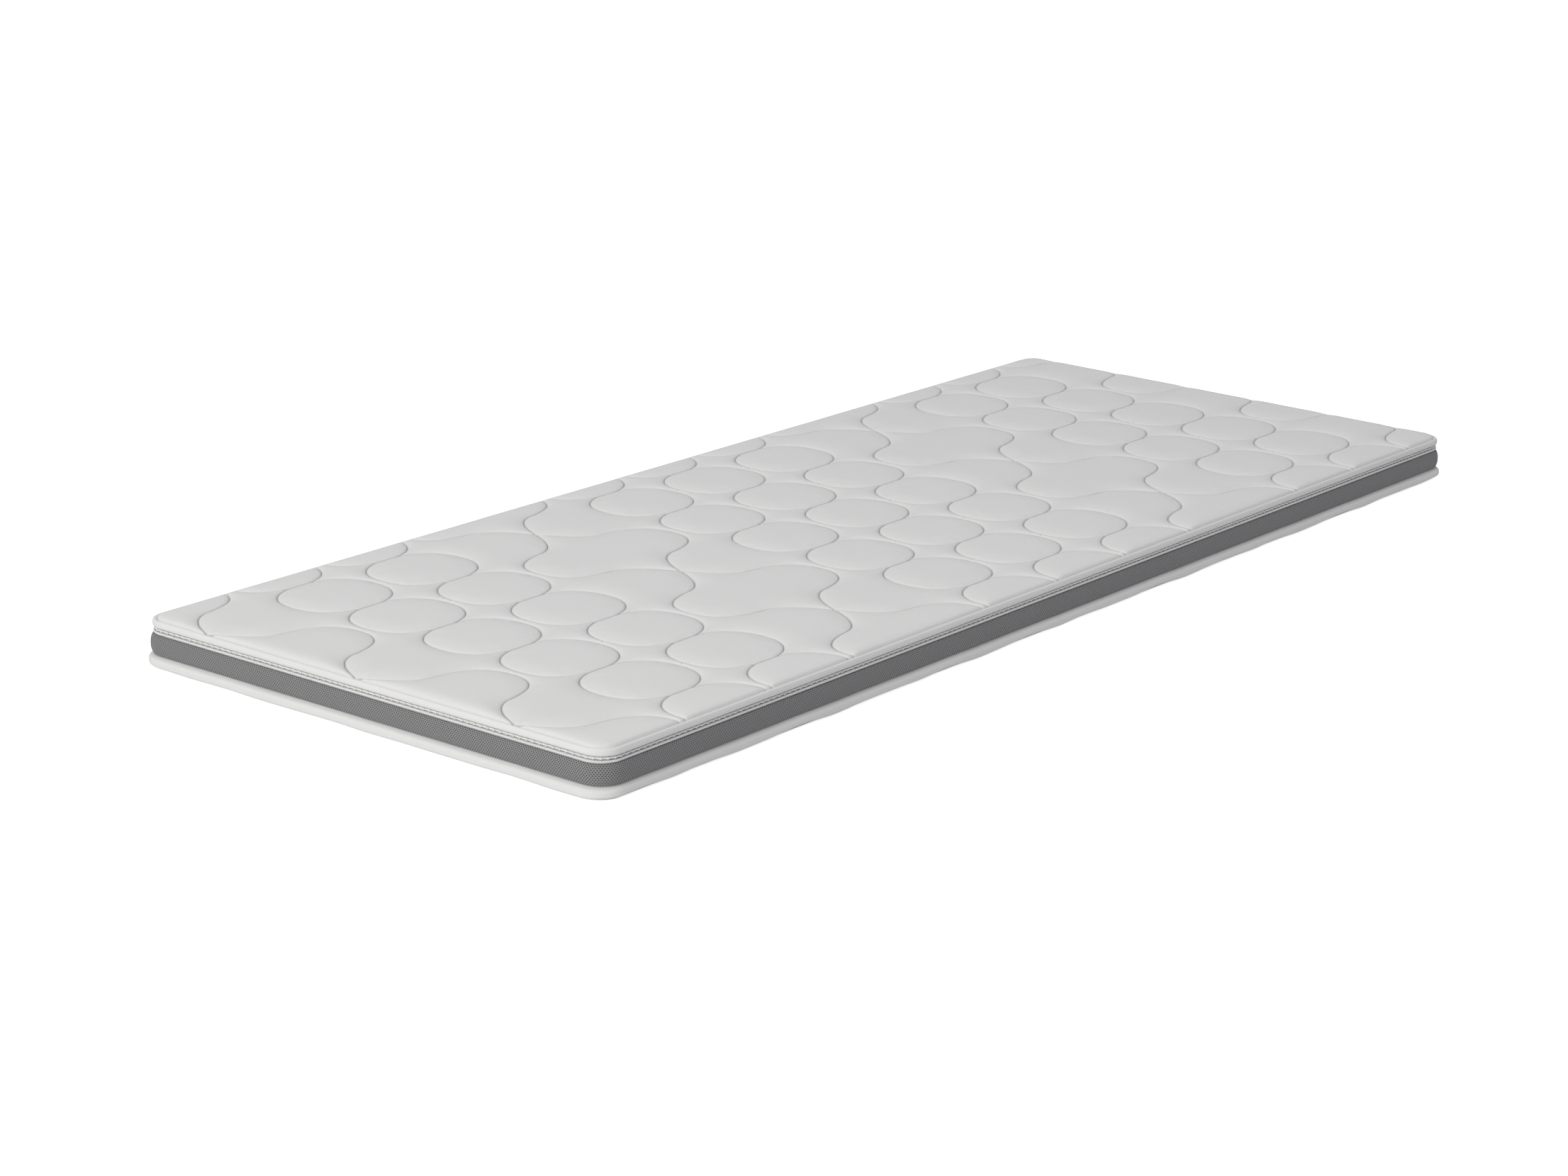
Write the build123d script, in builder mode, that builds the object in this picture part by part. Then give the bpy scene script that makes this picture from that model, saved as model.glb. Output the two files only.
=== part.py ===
"""Memory foam mattress topper: a quilted zip-off cover round a two-layer foam core.

Millimetres. +X runs along the length, +Y across the width and +Z up. The origin is the centre of the
underside, on the surface that the mattress lies on. Sideways sizes are insets, counted inwards from the
nominal outline, which is the belly of the border band, so a negative inset stands outside it.
"""

import os

from build123d import *

os.makedirs("parts", exist_ok=True)

# ---------------------------------------------------------------- overall sizes
cover_length = 2000.0
cover_width = 800.0
corner_radius = 35.0
ply_gap = 0.2  # between two layers that lie on each other

# ---------------------------------------------------------------- foam core
support_foam_thickness = 20.0
glue_thickness = 0.4
memory_foam_thickness = 30.0
sleeve_thickness = 0.8
core_inset = 9.0  # outline to the sleeve's outer face
core_seat_gap = 0.3  # above and below the core

# ---------------------------------------------------------------- quilted panels
face_thickness = 1.2
wadding_thickness = 5.9
backing_thickness = 0.6
crease_gap = 0.4

# ---------------------------------------------------------------- rolled edges
bottom_roll_height = 17.0
bottom_roll_width = 12.5  # from the outer face to the stitched crease
bottom_roll_overhang = 3.5
top_roll_height = 13.5  # from the crowns down to the roll's hem
top_roll_width = 6.0
top_roll_drop = 4.5  # how far the roll's top lies below the crowns
top_roll_shoulder = 3.5
top_roll_inset = 3.0
roll_seam_inset = 5.0
roll_wall_inset = 6.2  # the inner face of both turned edges

# ---------------------------------------------------------------- border band
band_seam_inset = 4.0
band_back_inset = 5.5
lining_thickness = 0.5

# ---------------------------------------------------------------- zip fastener
tape_thickness = 0.6
tape_width = 14.0
coil_width = 3.0
coil_depth = 2.3
coil_parting = 1.2  # between the two rows of teeth
tape_parting = 1.0

slider_length = 11.0
slider_clearance = 0.4  # to the seams above and below it
slider_lip_play = 0.15  # between each coil and the lip that holds it in
slider_plate = 1.0
slider_back_plate = 0.8
slider_play = 0.5  # between the coils and the front plate
slider_back_play = 0.3  # between the tapes and the back plate
slider_lip = 0.6
slider_lip_reach = 2.4
divider_length = 4.0
divider_thickness = 0.6
crown_length = 8.0
crown_width = 1.8
crown_height = 2.9
crown_bar = 1.0
crown_leg = 1.4

tab_length = 28.0
tab_width = 6.0
tab_thickness = 1.2
tab_window = 5.4  # the eye's opening, along the tab
tab_side_bar = 1.0
tab_clearance = 0.4  # from the slider's front plate

park_from_corner = 65.0  # from the start of the corner to the parked slider
garage_clearance = 4.5  # free chain each side of the parked slider
stop_length = 3.0
stop_height = 0.8

# ---------------------------------------------------------------- sewing and label
thread_diameter = 0.7
label_length = 60.0
label_height = 14.0
label_thickness = 0.4
label_from_corner = 250.0

# ---------------------------------------------------------------- heights, worked out
panel_thickness = face_thickness + wadding_thickness + backing_thickness
core_bottom = panel_thickness + core_seat_gap
support_foam_base = core_bottom + sleeve_thickness
glue_base = support_foam_base + support_foam_thickness
memory_foam_base = glue_base + glue_thickness
core_top = memory_foam_base + memory_foam_thickness + sleeve_thickness
top_panel_base = core_top + core_seat_gap
overall_height = top_panel_base + panel_thickness

slider_height = coil_parting + 2 * (coil_width + slider_lip_play + slider_lip)
zip_opening = slider_height + 2 * slider_clearance

top_roll_base = overall_height - top_roll_height
band_top = top_roll_base - zip_opening
zip_middle = band_top + zip_opening / 2

# ---------------------------------------------------------------- zip insets, worked out
tape_inset = band_back_inset + lining_thickness + 2 * ply_gap
coil_inset = tape_inset - ply_gap - coil_depth
slider_front_inset = coil_inset - slider_play - slider_plate
slider_back_inset = tape_inset + tape_thickness + slider_back_play
tab_axis_inset = slider_front_inset - tab_clearance - tab_thickness / 2
park_x = cover_length / 2 - corner_radius - park_from_corner
side_y = cover_width / 2


def outline(inset):
    """Draw the cover's outline, moved inwards by inset, in the current sketch."""
    return RectangleRounded(
        cover_length - 2 * inset,
        cover_width - 2 * inset,
        corner_radius - inset,
    )


def plate_sketch(inset, base):
    """A full sheet of one layer, its edge at inset and its underside at base."""
    with BuildSketch(Plane.XY.offset(base)) as sheet:
        outline(inset)
    return sheet.sketch


def ring_sketch(outer_inset, inner_inset, base):
    """A strip that stands on edge all the way round, between two insets."""
    with BuildSketch(Plane.XY.offset(base)) as strip:
        outline(outer_inset)
        with BuildSketch(Plane.XY.offset(base), mode=Mode.SUBTRACT):
            outline(inner_inset)
    return strip.sketch


def perimeter(inset):
    """One closed run round the cover, from the middle of its front long side."""
    half_length = cover_length / 2 - inset
    half_width = cover_width / 2 - inset
    bend = corner_radius - inset
    straight_x = half_length - bend
    straight_y = half_width - bend
    with BuildLine() as run:
        Line((0, -half_width), (straight_x, -half_width))
        CenterArc((straight_x, -straight_y), bend, -90, 90)
        Line((half_length, -straight_y), (half_length, straight_y))
        CenterArc((straight_x, straight_y), bend, 0, 90)
        Line((straight_x, half_width), (-straight_x, half_width))
        CenterArc((-straight_x, straight_y), bend, 90, 90)
        Line((-half_length, straight_y), (-half_length, -straight_y))
        CenterArc((-straight_x, -straight_y), bend, 180, 90)
        Line((-straight_x, -half_width), (0, -half_width))
    return run.wire()


# Across the front long side: x is how far outwards of the outline, and y is the height.
section_plane = Plane(origin=(0, -side_y, 0), x_dir=(0, -1, 0), z_dir=(-1, 0, 0))


# ================================================================ lower cover: quilted bottom panel
bottom_crease_inset = bottom_roll_width - bottom_roll_overhang

with BuildPart() as bottom_face_fabric:
    add(plate_sketch(bottom_crease_inset + crease_gap, 0))
    extrude(amount=face_thickness)

with BuildPart() as bottom_wadding:
    add(plate_sketch(bottom_crease_inset + crease_gap, face_thickness))
    extrude(amount=wadding_thickness)

with BuildPart() as bottom_backing:
    add(plate_sketch(bottom_crease_inset + crease_gap, face_thickness + wadding_thickness))
    extrude(amount=backing_thickness)

# The panel's edge turns up round the core. Its outer face is a half-round bead.
with BuildPart() as bottom_rolled_edge:
    with BuildSketch(section_plane):
        with BuildLine():
            foot = (-bottom_roll_overhang, 0)
            belly = (bottom_roll_overhang, bottom_roll_height / 2)
            lip = (-roll_seam_inset, bottom_roll_height)
            Line((-bottom_crease_inset, 0), foot)
            ThreePointArc(foot, belly, lip)
            Line(lip, (-roll_wall_inset, bottom_roll_height))
            Line((-roll_wall_inset, bottom_roll_height), (-roll_wall_inset, panel_thickness))
            Line((-roll_wall_inset, panel_thickness), (-bottom_crease_inset, panel_thickness))
            Line((-bottom_crease_inset, panel_thickness), (-bottom_crease_inset, 0))
        make_face()
    sweep(path=perimeter(0))

# ================================================================ lower cover: border band
with BuildPart() as border_band:
    with BuildSketch(section_plane):
        with BuildLine():
            low_seam = (-band_seam_inset, bottom_roll_height)
            high_seam = (-band_seam_inset, band_top)
            ThreePointArc(low_seam, (0, (bottom_roll_height + band_top) / 2), high_seam)
            Line(high_seam, (-band_back_inset, band_top))
            Line((-band_back_inset, band_top), (-band_back_inset, bottom_roll_height))
            Line((-band_back_inset, bottom_roll_height), low_seam)
        make_face()
    sweep(path=perimeter(0))

lining_inset = band_back_inset + ply_gap

with BuildPart() as band_lining:
    add(ring_sketch(lining_inset, lining_inset + lining_thickness, bottom_roll_height + ply_gap))
    extrude(amount=band_top - bottom_roll_height - ply_gap)

# The sewing thread lies on the rolled edge, in the groove of the seam below the band.
thread_inset = band_seam_inset - thread_diameter - 2 * ply_gap
thread_height = bottom_roll_height + ply_gap + thread_diameter / 2
thread_plane = Plane(origin=(0, thread_inset - side_y, thread_height), z_dir=(1, 0, 0))

with BuildPart() as bottom_seam_thread:
    with BuildSketch(thread_plane):
        Circle(thread_diameter / 2)
    sweep(path=perimeter(thread_inset).moved(Location((0, 0, thread_height))))

# ================================================================ lower cover: zip and label
lower_tape_top = zip_middle - tape_parting / 2
lower_coil_base = zip_middle - coil_parting / 2 - coil_width

with BuildPart() as lower_zip_tape:
    add(ring_sketch(tape_inset, tape_inset + tape_thickness, lower_tape_top - tape_width))
    extrude(amount=tape_width)

with BuildPart() as lower_zip_coil:
    add(ring_sketch(coil_inset, coil_inset + coil_depth, lower_coil_base))
    extrude(amount=coil_width)

garage_half = slider_length / 2 + garage_clearance

with BuildPart() as lower_end_stop:
    with BuildSketch(Plane.XY.offset(lower_coil_base)):
        with Locations((park_x + garage_half, side_y - coil_inset + ply_gap + stop_height / 2)):
            Rectangle(stop_length, stop_height)
    extrude(amount=coil_width)

label_x = label_from_corner - cover_length / 2
label_y = side_y - tape_inset - tape_thickness - ply_gap - label_thickness / 2

with BuildPart() as care_label:
    with BuildSketch(Plane.XY.offset(bottom_roll_height + ply_gap)):
        with Locations((label_x, label_y)):
            Rectangle(label_length, label_thickness)
    extrude(amount=label_height)

# ================================================================ foam core
foam_inset = core_inset + sleeve_thickness

with BuildPart() as inner_sleeve_lower:
    add(plate_sketch(core_inset, core_bottom))
    extrude(amount=core_top - sleeve_thickness - core_bottom)
    add(plate_sketch(foam_inset, core_bottom + sleeve_thickness))
    extrude(amount=core_top - core_bottom, mode=Mode.SUBTRACT)

with BuildPart() as inner_sleeve_upper:
    add(plate_sketch(core_inset, core_top - sleeve_thickness))
    extrude(amount=sleeve_thickness)

with BuildPart() as support_foam:
    add(plate_sketch(foam_inset + ply_gap, support_foam_base))
    extrude(amount=support_foam_thickness)

with BuildPart() as glue_film:
    add(plate_sketch(foam_inset + ply_gap, glue_base))
    extrude(amount=glue_thickness)

with BuildPart() as memory_foam:
    add(plate_sketch(foam_inset + ply_gap, memory_foam_base))
    extrude(amount=memory_foam_thickness)

# ================================================================ top cover: quilted top panel
top_crease_inset = top_roll_inset + top_roll_width

with BuildPart() as top_backing:
    add(plate_sketch(top_crease_inset + crease_gap, top_panel_base))
    extrude(amount=backing_thickness)

with BuildPart() as top_wadding:
    add(plate_sketch(top_crease_inset + crease_gap, top_panel_base + backing_thickness))
    extrude(amount=wadding_thickness)

with BuildPart() as top_face_fabric:
    add(plate_sketch(top_crease_inset + crease_gap, overall_height - face_thickness))
    extrude(amount=face_thickness)

# The panel's edge turns down over the core and ends in the upper zip tape.
with BuildPart() as top_rolled_edge:
    with BuildSketch(section_plane):
        with BuildLine():
            roll_top = overall_height - top_roll_drop
            hem = (-roll_seam_inset, top_roll_base)
            belly = (-top_roll_inset, (top_roll_base + roll_top) / 2)
            shoulder = (-top_roll_inset - top_roll_shoulder, roll_top)
            ThreePointArc(hem, belly, shoulder)
            Line(shoulder, (-top_crease_inset, roll_top))
            Line((-top_crease_inset, roll_top), (-top_crease_inset, top_panel_base))
            Line((-top_crease_inset, top_panel_base), (-roll_wall_inset, top_panel_base))
            Line((-roll_wall_inset, top_panel_base), (-roll_wall_inset, top_roll_base))
            Line((-roll_wall_inset, top_roll_base), hem)
        make_face()
    sweep(path=perimeter(0))

# ================================================================ top cover: zip
upper_tape_base = zip_middle + tape_parting / 2
upper_tape_top = top_panel_base - 2 * core_seat_gap
upper_coil_base = zip_middle + coil_parting / 2


def open_garage(height):
    """Take away the stretch of the upper chain where the slider parks."""
    with Locations((park_x, side_y - tape_inset, height)):
        Box(2 * garage_half, 4 * coil_depth, 2 * tape_width, mode=Mode.SUBTRACT)


with BuildPart() as upper_zip_tape:
    add(ring_sketch(tape_inset, tape_inset + tape_thickness, upper_tape_base))
    extrude(amount=upper_tape_top - upper_tape_base)
    open_garage(upper_tape_base)

with BuildPart() as upper_zip_coil:
    add(ring_sketch(coil_inset, coil_inset + coil_depth, upper_coil_base))
    extrude(amount=coil_width)
    open_garage(upper_coil_base)

with BuildPart() as upper_end_stop:
    with BuildSketch(Plane.XY.offset(upper_coil_base)):
        stop_x = park_x + garage_half + stop_length / 2
        with Locations((stop_x, side_y - coil_inset + ply_gap + stop_height / 2)):
            Rectangle(stop_length, stop_height)
    extrude(amount=coil_width)

# ================================================================ zip slider and its pull tab
slider_base = zip_middle - slider_height / 2
front_y = side_y - slider_front_inset
back_y = side_y - slider_back_inset

with BuildPart() as slider_body:
    with BuildSketch(Plane.XY.offset(slider_base)):
        with Locations((park_x, front_y - slider_plate / 2)):
            RectangleRounded(slider_length, slider_plate, slider_plate / 3)
        with Locations((park_x, back_y - slider_back_plate / 2)):
            RectangleRounded(slider_length, slider_back_plate, slider_back_plate / 3)
    extrude(amount=slider_height)
    # Two lips hold the coils in.
    with BuildSketch(Plane.XY.offset(slider_base)):
        with Locations((park_x, front_y - slider_plate - slider_lip_reach / 2)):
            Rectangle(slider_length, slider_lip_reach)
    extrude(amount=slider_lip)
    with BuildSketch(Plane.XY.offset(slider_base + slider_height - slider_lip)):
        with Locations((park_x, front_y - slider_plate - slider_lip_reach / 2)):
            Rectangle(slider_length, slider_lip_reach)
    extrude(amount=slider_lip)
    # The divider joins the two plates between the rows of teeth.
    with BuildSketch(Plane.XY.offset(zip_middle - divider_thickness / 2)):
        with Locations((park_x, (front_y - slider_plate + back_y) / 2)):
            Rectangle(divider_length, front_y - slider_plate - back_y)
    extrude(amount=divider_thickness)
    # The crown is a small bridge, and the tab's crossbar turns under it.
    with BuildSketch(Plane.XY.offset(zip_middle - crown_width / 2)):
        with Locations((park_x, front_y + crown_height / 2)):
            Rectangle(crown_length, crown_height)
        with Locations((park_x, front_y + (crown_height - crown_bar) / 2)):
            Rectangle(
                crown_length - 2 * crown_leg, crown_height - crown_bar, mode=Mode.SUBTRACT
            )
    extrude(amount=crown_width)

tab_axis_y = side_y - tab_axis_inset
window_width = tab_width - 2 * tab_side_bar
tab_plane = Plane(origin=(park_x, tab_axis_y, zip_middle), x_dir=(1, 0, 0), z_dir=(0, 1, 0))

with BuildPart() as pull_tab:
    with BuildSketch(tab_plane.offset(-tab_thickness / 2)):
        with Locations((tab_length / 2, 0)):
            Rectangle(tab_length, tab_width)
        with Locations((tab_window / 2, 0)):
            Rectangle(tab_window, window_width, mode=Mode.SUBTRACT)
    extrude(amount=tab_thickness)
    fillet(pull_tab.edges().filter_by(Axis.Y).sort_by(Axis.X)[-2:], tab_width / 3)
    # The crossbar that turns under the crown.
    with BuildSketch(Plane.XY.offset(zip_middle - tab_width / 2)):
        with Locations((park_x, tab_axis_y)):
            Circle(tab_thickness / 2)
    extrude(amount=tab_width)

# ================================================================ labels and files
bottom_face_fabric.part.label = "bottom_face_fabric"
bottom_wadding.part.label = "bottom_wadding"
bottom_backing.part.label = "bottom_backing"
bottom_rolled_edge.part.label = "bottom_rolled_edge"
border_band.part.label = "border_band"
band_lining.part.label = "band_lining"
bottom_seam_thread.part.label = "bottom_seam_thread"
lower_zip_tape.part.label = "lower_zip_tape"
lower_zip_coil.part.label = "lower_zip_coil"
lower_end_stop.part.label = "lower_end_stop"
care_label.part.label = "care_label"
inner_sleeve_lower.part.label = "inner_sleeve_lower"
inner_sleeve_upper.part.label = "inner_sleeve_upper"
support_foam.part.label = "support_foam"
glue_film.part.label = "glue_film"
memory_foam.part.label = "memory_foam"
top_backing.part.label = "top_backing"
top_wadding.part.label = "top_wadding"
top_face_fabric.part.label = "top_face_fabric"
top_rolled_edge.part.label = "top_rolled_edge"
upper_zip_tape.part.label = "upper_zip_tape"
upper_zip_coil.part.label = "upper_zip_coil"
upper_end_stop.part.label = "upper_end_stop"
slider_body.part.label = "slider_body"
pull_tab.part.label = "pull_tab"

export_step(bottom_face_fabric.part, "parts/bottom_face_fabric.step")
export_step(bottom_wadding.part, "parts/bottom_wadding.step")
export_step(bottom_backing.part, "parts/bottom_backing.step")
export_step(bottom_rolled_edge.part, "parts/bottom_rolled_edge.step")
export_step(border_band.part, "parts/border_band.step")
export_step(band_lining.part, "parts/band_lining.step")
export_step(bottom_seam_thread.part, "parts/bottom_seam_thread.step")
export_step(lower_zip_tape.part, "parts/lower_zip_tape.step")
export_step(lower_zip_coil.part, "parts/lower_zip_coil.step")
export_step(lower_end_stop.part, "parts/lower_end_stop.step")
export_step(care_label.part, "parts/care_label.step")
export_step(inner_sleeve_lower.part, "parts/inner_sleeve_lower.step")
export_step(inner_sleeve_upper.part, "parts/inner_sleeve_upper.step")
export_step(support_foam.part, "parts/support_foam.step")
export_step(glue_film.part, "parts/glue_film.step")
export_step(memory_foam.part, "parts/memory_foam.step")
export_step(top_backing.part, "parts/top_backing.step")
export_step(top_wadding.part, "parts/top_wadding.step")
export_step(top_face_fabric.part, "parts/top_face_fabric.step")
export_step(top_rolled_edge.part, "parts/top_rolled_edge.step")
export_step(upper_zip_tape.part, "parts/upper_zip_tape.step")
export_step(upper_zip_coil.part, "parts/upper_zip_coil.step")
export_step(upper_end_stop.part, "parts/upper_end_stop.step")
export_step(slider_body.part, "parts/slider_body.step")
export_step(pull_tab.part, "parts/pull_tab.step")
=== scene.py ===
"""Looks of the memory foam mattress: quilted cover, mesh border, zip and foam core, in metres.

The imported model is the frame. The zip's slider, pull tab and end stops stay as the frame has them. Every
other piece is a surface worked out with numpy and dressed with a procedural finish. Heights come from the
frame's nodes, and sideways places are insets from the cover's outline.
"""

import logging
import math
from dataclasses import dataclass
from enum import Enum
from typing import Callable, Optional, Sequence

import bpy
import numpy as np
from mathutils import Matrix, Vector
from mathutils.geometry import delaunay_2d_cdt


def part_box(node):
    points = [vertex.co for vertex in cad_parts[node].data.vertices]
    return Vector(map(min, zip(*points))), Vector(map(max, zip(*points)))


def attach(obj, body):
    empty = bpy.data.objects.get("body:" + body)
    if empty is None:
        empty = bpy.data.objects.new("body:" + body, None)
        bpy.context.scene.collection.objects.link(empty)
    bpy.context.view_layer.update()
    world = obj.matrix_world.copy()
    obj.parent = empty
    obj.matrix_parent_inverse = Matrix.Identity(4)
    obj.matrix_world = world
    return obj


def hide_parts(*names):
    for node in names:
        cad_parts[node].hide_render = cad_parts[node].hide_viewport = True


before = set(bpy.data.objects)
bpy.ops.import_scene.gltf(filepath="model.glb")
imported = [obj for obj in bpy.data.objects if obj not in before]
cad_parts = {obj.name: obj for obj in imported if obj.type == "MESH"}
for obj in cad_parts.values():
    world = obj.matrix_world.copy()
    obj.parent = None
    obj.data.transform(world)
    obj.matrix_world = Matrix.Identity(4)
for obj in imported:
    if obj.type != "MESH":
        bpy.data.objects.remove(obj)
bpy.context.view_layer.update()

MM = 0.001
log = logging.getLogger("mattress")


def node_low(node: str) -> float:
    """The height of a frame node's lowest point."""
    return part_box(node)[0].z


def node_high(node: str) -> float:
    """The height of a frame node's highest point."""
    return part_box(node)[1].z


def outward_face(node: str) -> float:
    """How far a node's outer side is beyond the border band's belly, negative where it lies inside."""
    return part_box(node)[1].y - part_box("border_band")[1].y


# ---------------------------------------------------------------- the cover's outline
@dataclass(frozen=True)
class Loop:
    """A closed run round the cover: points, outward directions, length so far and whole length."""

    points: np.ndarray
    outward: np.ndarray
    travel: np.ndarray
    length: float

    def inset(self, inset: float) -> np.ndarray:
        """The run's points moved inwards."""
        return self.points - self.outward * inset

    def at(self, places: np.ndarray) -> tuple[np.ndarray, np.ndarray]:
        """Points and outward directions at any lengths along the run.

        Args:
            places: lengths along the run; they wrap at its whole length.

        Returns:
            Points and unit outward directions, by linear blending between the run's own points.
        """
        travel = np.append(self.travel, self.length)
        wrapped = np.mod(places, self.length)
        columns = []
        for values in (self.points, self.outward):
            closed = np.vstack([values, values[:1]])
            columns.append(np.stack([np.interp(wrapped, travel, closed[:, k]) for k in (0, 1)], axis=1))
        outward = columns[1] / np.linalg.norm(columns[1], axis=1, keepdims=True)
        return columns[0], outward


@dataclass(frozen=True)
class Outline:
    """The cover's nominal outline, a rounded rectangle round the belly of the border band."""

    half_length: float
    half_width: float
    corner_radius: float = 35 * MM

    @classmethod
    def from_frame(cls) -> "Outline":
        """The outline through the outermost points of the border band."""
        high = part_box("border_band")[1]
        return cls(high.x, high.y)

    def loop(self, step: float = 10 * MM, corner_steps: int = 16) -> Loop:
        """Walk round the outline from the corner at +X -Y, turning left.

        Each corner is an arc, a point at the corner's centre plus the radius times (cosine, sine); each
        side is a straight run between two arcs' ends.

        Args:
            step: the longest distance between points on the sides.
            corner_steps: how many parts each corner's arc has.

        Returns:
            The closed run.
        """
        radius = self.corner_radius
        x, y = self.half_length - radius, self.half_width - radius
        centres = np.array([(x, -y), (x, y), (-x, y), (-x, -y)])
        points, outward = [], []
        for index, centre in enumerate(centres):
            angles = np.radians(np.linspace(-90 + 90 * index, 90 * index, corner_steps + 1))
            arc = np.stack([np.cos(angles), np.sin(angles)], axis=1)
            points.append(centre + radius * arc)
            outward.append(arc)
            start, end = points[-1][-1], centres[(index + 1) % 4] + radius * arc[-1]
            count = max(2, int(np.ceil(np.linalg.norm(end - start) / step)))
            shares = np.linspace(0, 1, count + 1)[1:-1, None]
            points.append(start + (end - start) * shares)
            outward.append(np.repeat(arc[-1:], count - 1, axis=0))
        run = np.vstack(points)
        steps = np.linalg.norm(np.roll(run, -1, axis=0) - run, axis=1)
        travel = np.concatenate([[0.0], np.cumsum(steps)[:-1]])
        return Loop(run, np.vstack(outward), travel, float(steps.sum()))

    def depth(self, points: np.ndarray, inset: float = 0.0) -> np.ndarray:
        """How far inside the outline points lie.

        The rounded box distance: fold the point into one quarter, take its place against the corner's
        centre, and add the length outside it to the larger part inside it, less the radius.

        Args:
            points: plan points, one row each.
            inset: how far inwards the outline itself is moved.

        Returns:
            Distances, positive inside and negative outside.
        """
        radius = self.corner_radius - inset
        half = np.array([self.half_length - inset - radius, self.half_width - inset - radius])
        folded = np.abs(points) - half
        outside = np.linalg.norm(np.maximum(folded, 0), axis=1)
        inside = np.minimum(folded.max(axis=1), 0)
        return radius - outside - inside


# ---------------------------------------------------------------- meshes
def grid_faces(rows: int, columns: int, wrap_rows: bool, wrap_columns: bool) -> np.ndarray:
    """Quads of a grid whose vertices run row by row.

    Args:
        rows, columns: the grid's size.
        wrap_rows, wrap_columns: whether its last row or column joins its first.

    Returns:
        One row of four vertex numbers for each face.
    """
    row = np.arange(rows if wrap_rows else rows - 1)
    column = np.arange(columns if wrap_columns else columns - 1)
    row, column = np.meshgrid(row, column, indexing="ij")
    next_row, next_column = (row + 1) % rows, (column + 1) % columns
    corners = (row * columns + column, next_row * columns + column,
               next_row * columns + next_column, row * columns + next_column)
    return np.stack([corner.ravel() for corner in corners], axis=1)


def new_object(name: str, vertices: np.ndarray, faces: list, smooth: bool = True) -> bpy.types.Object:
    """Put a surface into the scene.

    Args:
        name: the piece's name.
        vertices: one row of x, y, z for each vertex.
        faces: vertex numbers of each face.
        smooth: whether its faces are shaded smooth.

    Returns:
        The new object, at the origin.
    """
    mesh = bpy.data.meshes.new(name)
    mesh.from_pydata(np.asarray(vertices, float), [], [tuple(face) for face in faces])
    mesh.validate()
    mesh.polygons.foreach_set("use_smooth", np.full(len(mesh.polygons), smooth))
    mesh.update()
    piece = bpy.data.objects.new(name, mesh)
    bpy.context.scene.collection.objects.link(piece)
    return piece


def set_values(piece: bpy.types.Object, name: str, values: np.ndarray) -> None:
    """Store one number for each vertex as a named attribute."""
    attribute = piece.data.attributes.new(name, "FLOAT", "POINT")
    attribute.data.foreach_set("value", np.asarray(values, np.float32))


def smooth_section(points: Sequence[tuple], samples: int = 6, closed: bool = True) -> np.ndarray:
    """A smooth line through a section's points.

    The Catmull-Rom formula: between two points the line is a cubic whose end slopes are half the
    distance between the neighbours on either side.

    Args:
        points: outward distance and height of each point.
        samples: steps from one point to the next.
        closed: whether the line returns to its start.

    Returns:
        The line's points, one row each.
    """
    anchor = np.array(points, float)
    if closed:
        before, after, beyond = (np.roll(anchor, shift, axis=0) for shift in (1, -1, -2))
        start = anchor
    else:
        padded = np.vstack([2 * anchor[0] - anchor[1], anchor, 2 * anchor[-1] - anchor[-2]])
        before, start, after, beyond = padded[:-3], padded[1:-2], padded[2:-1], padded[3:]
    share = np.linspace(0, 1, samples, endpoint=False)[None, :, None]
    before, start, after, beyond = (part[:, None, :] for part in (before, start, after, beyond))
    line = 0.5 * (2 * start + (after - before) * share
                  + (2 * before - 5 * start + 4 * after - beyond) * share ** 2
                  + (3 * start - before - 3 * after + beyond) * share ** 3)
    line = line.reshape(-1, 2)
    return line if closed else np.vstack([line, anchor[-1:]])


def sweep(name: str, run: Loop, section: np.ndarray) -> bpy.types.Object:
    """Carry a closed section once round the cover.

    Each vertex is the run's point, moved along its outward direction by the section's first number, at
    the height of its second. The UV map holds the length along the run and round the section, in metres.

    Args:
        name: the piece's name.
        run: where the section goes.
        section: its points, turning left as seen along the run; one array, or one for each run point.

    Returns:
        The new piece, a closed ring.
    """
    count = len(run.points)
    sections = np.broadcast_to(section, (count, *section.shape[-2:]))
    sides = sections.shape[1]
    plan = run.points[:, None, :] + run.outward[:, None, :] * sections[:, :, :1]
    vertices = np.concatenate([plan, sections[:, :, 1:]], axis=2).reshape(-1, 3)
    piece = new_object(name, vertices, grid_faces(count, sides, True, True))
    around = np.linalg.norm(np.diff(np.vstack([sections[0], sections[0][:1]]), axis=0), axis=1)
    across = np.concatenate([[0.0], np.cumsum(around)])
    along = np.append(run.travel, run.length)
    row, column = np.meshgrid(np.arange(count), np.arange(sides), indexing="ij")
    corner_rows = np.stack([row, row + 1, row + 1, row], axis=-1)
    corner_columns = np.stack([column, column, column + 1, column + 1], axis=-1)
    coordinates = np.stack([along[corner_rows], across[corner_columns]], axis=-1)
    layer = piece.data.uv_layers.new(name="UVMap")
    layer.data.foreach_set("uv", coordinates.astype(np.float32).ravel())
    return piece


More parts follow.
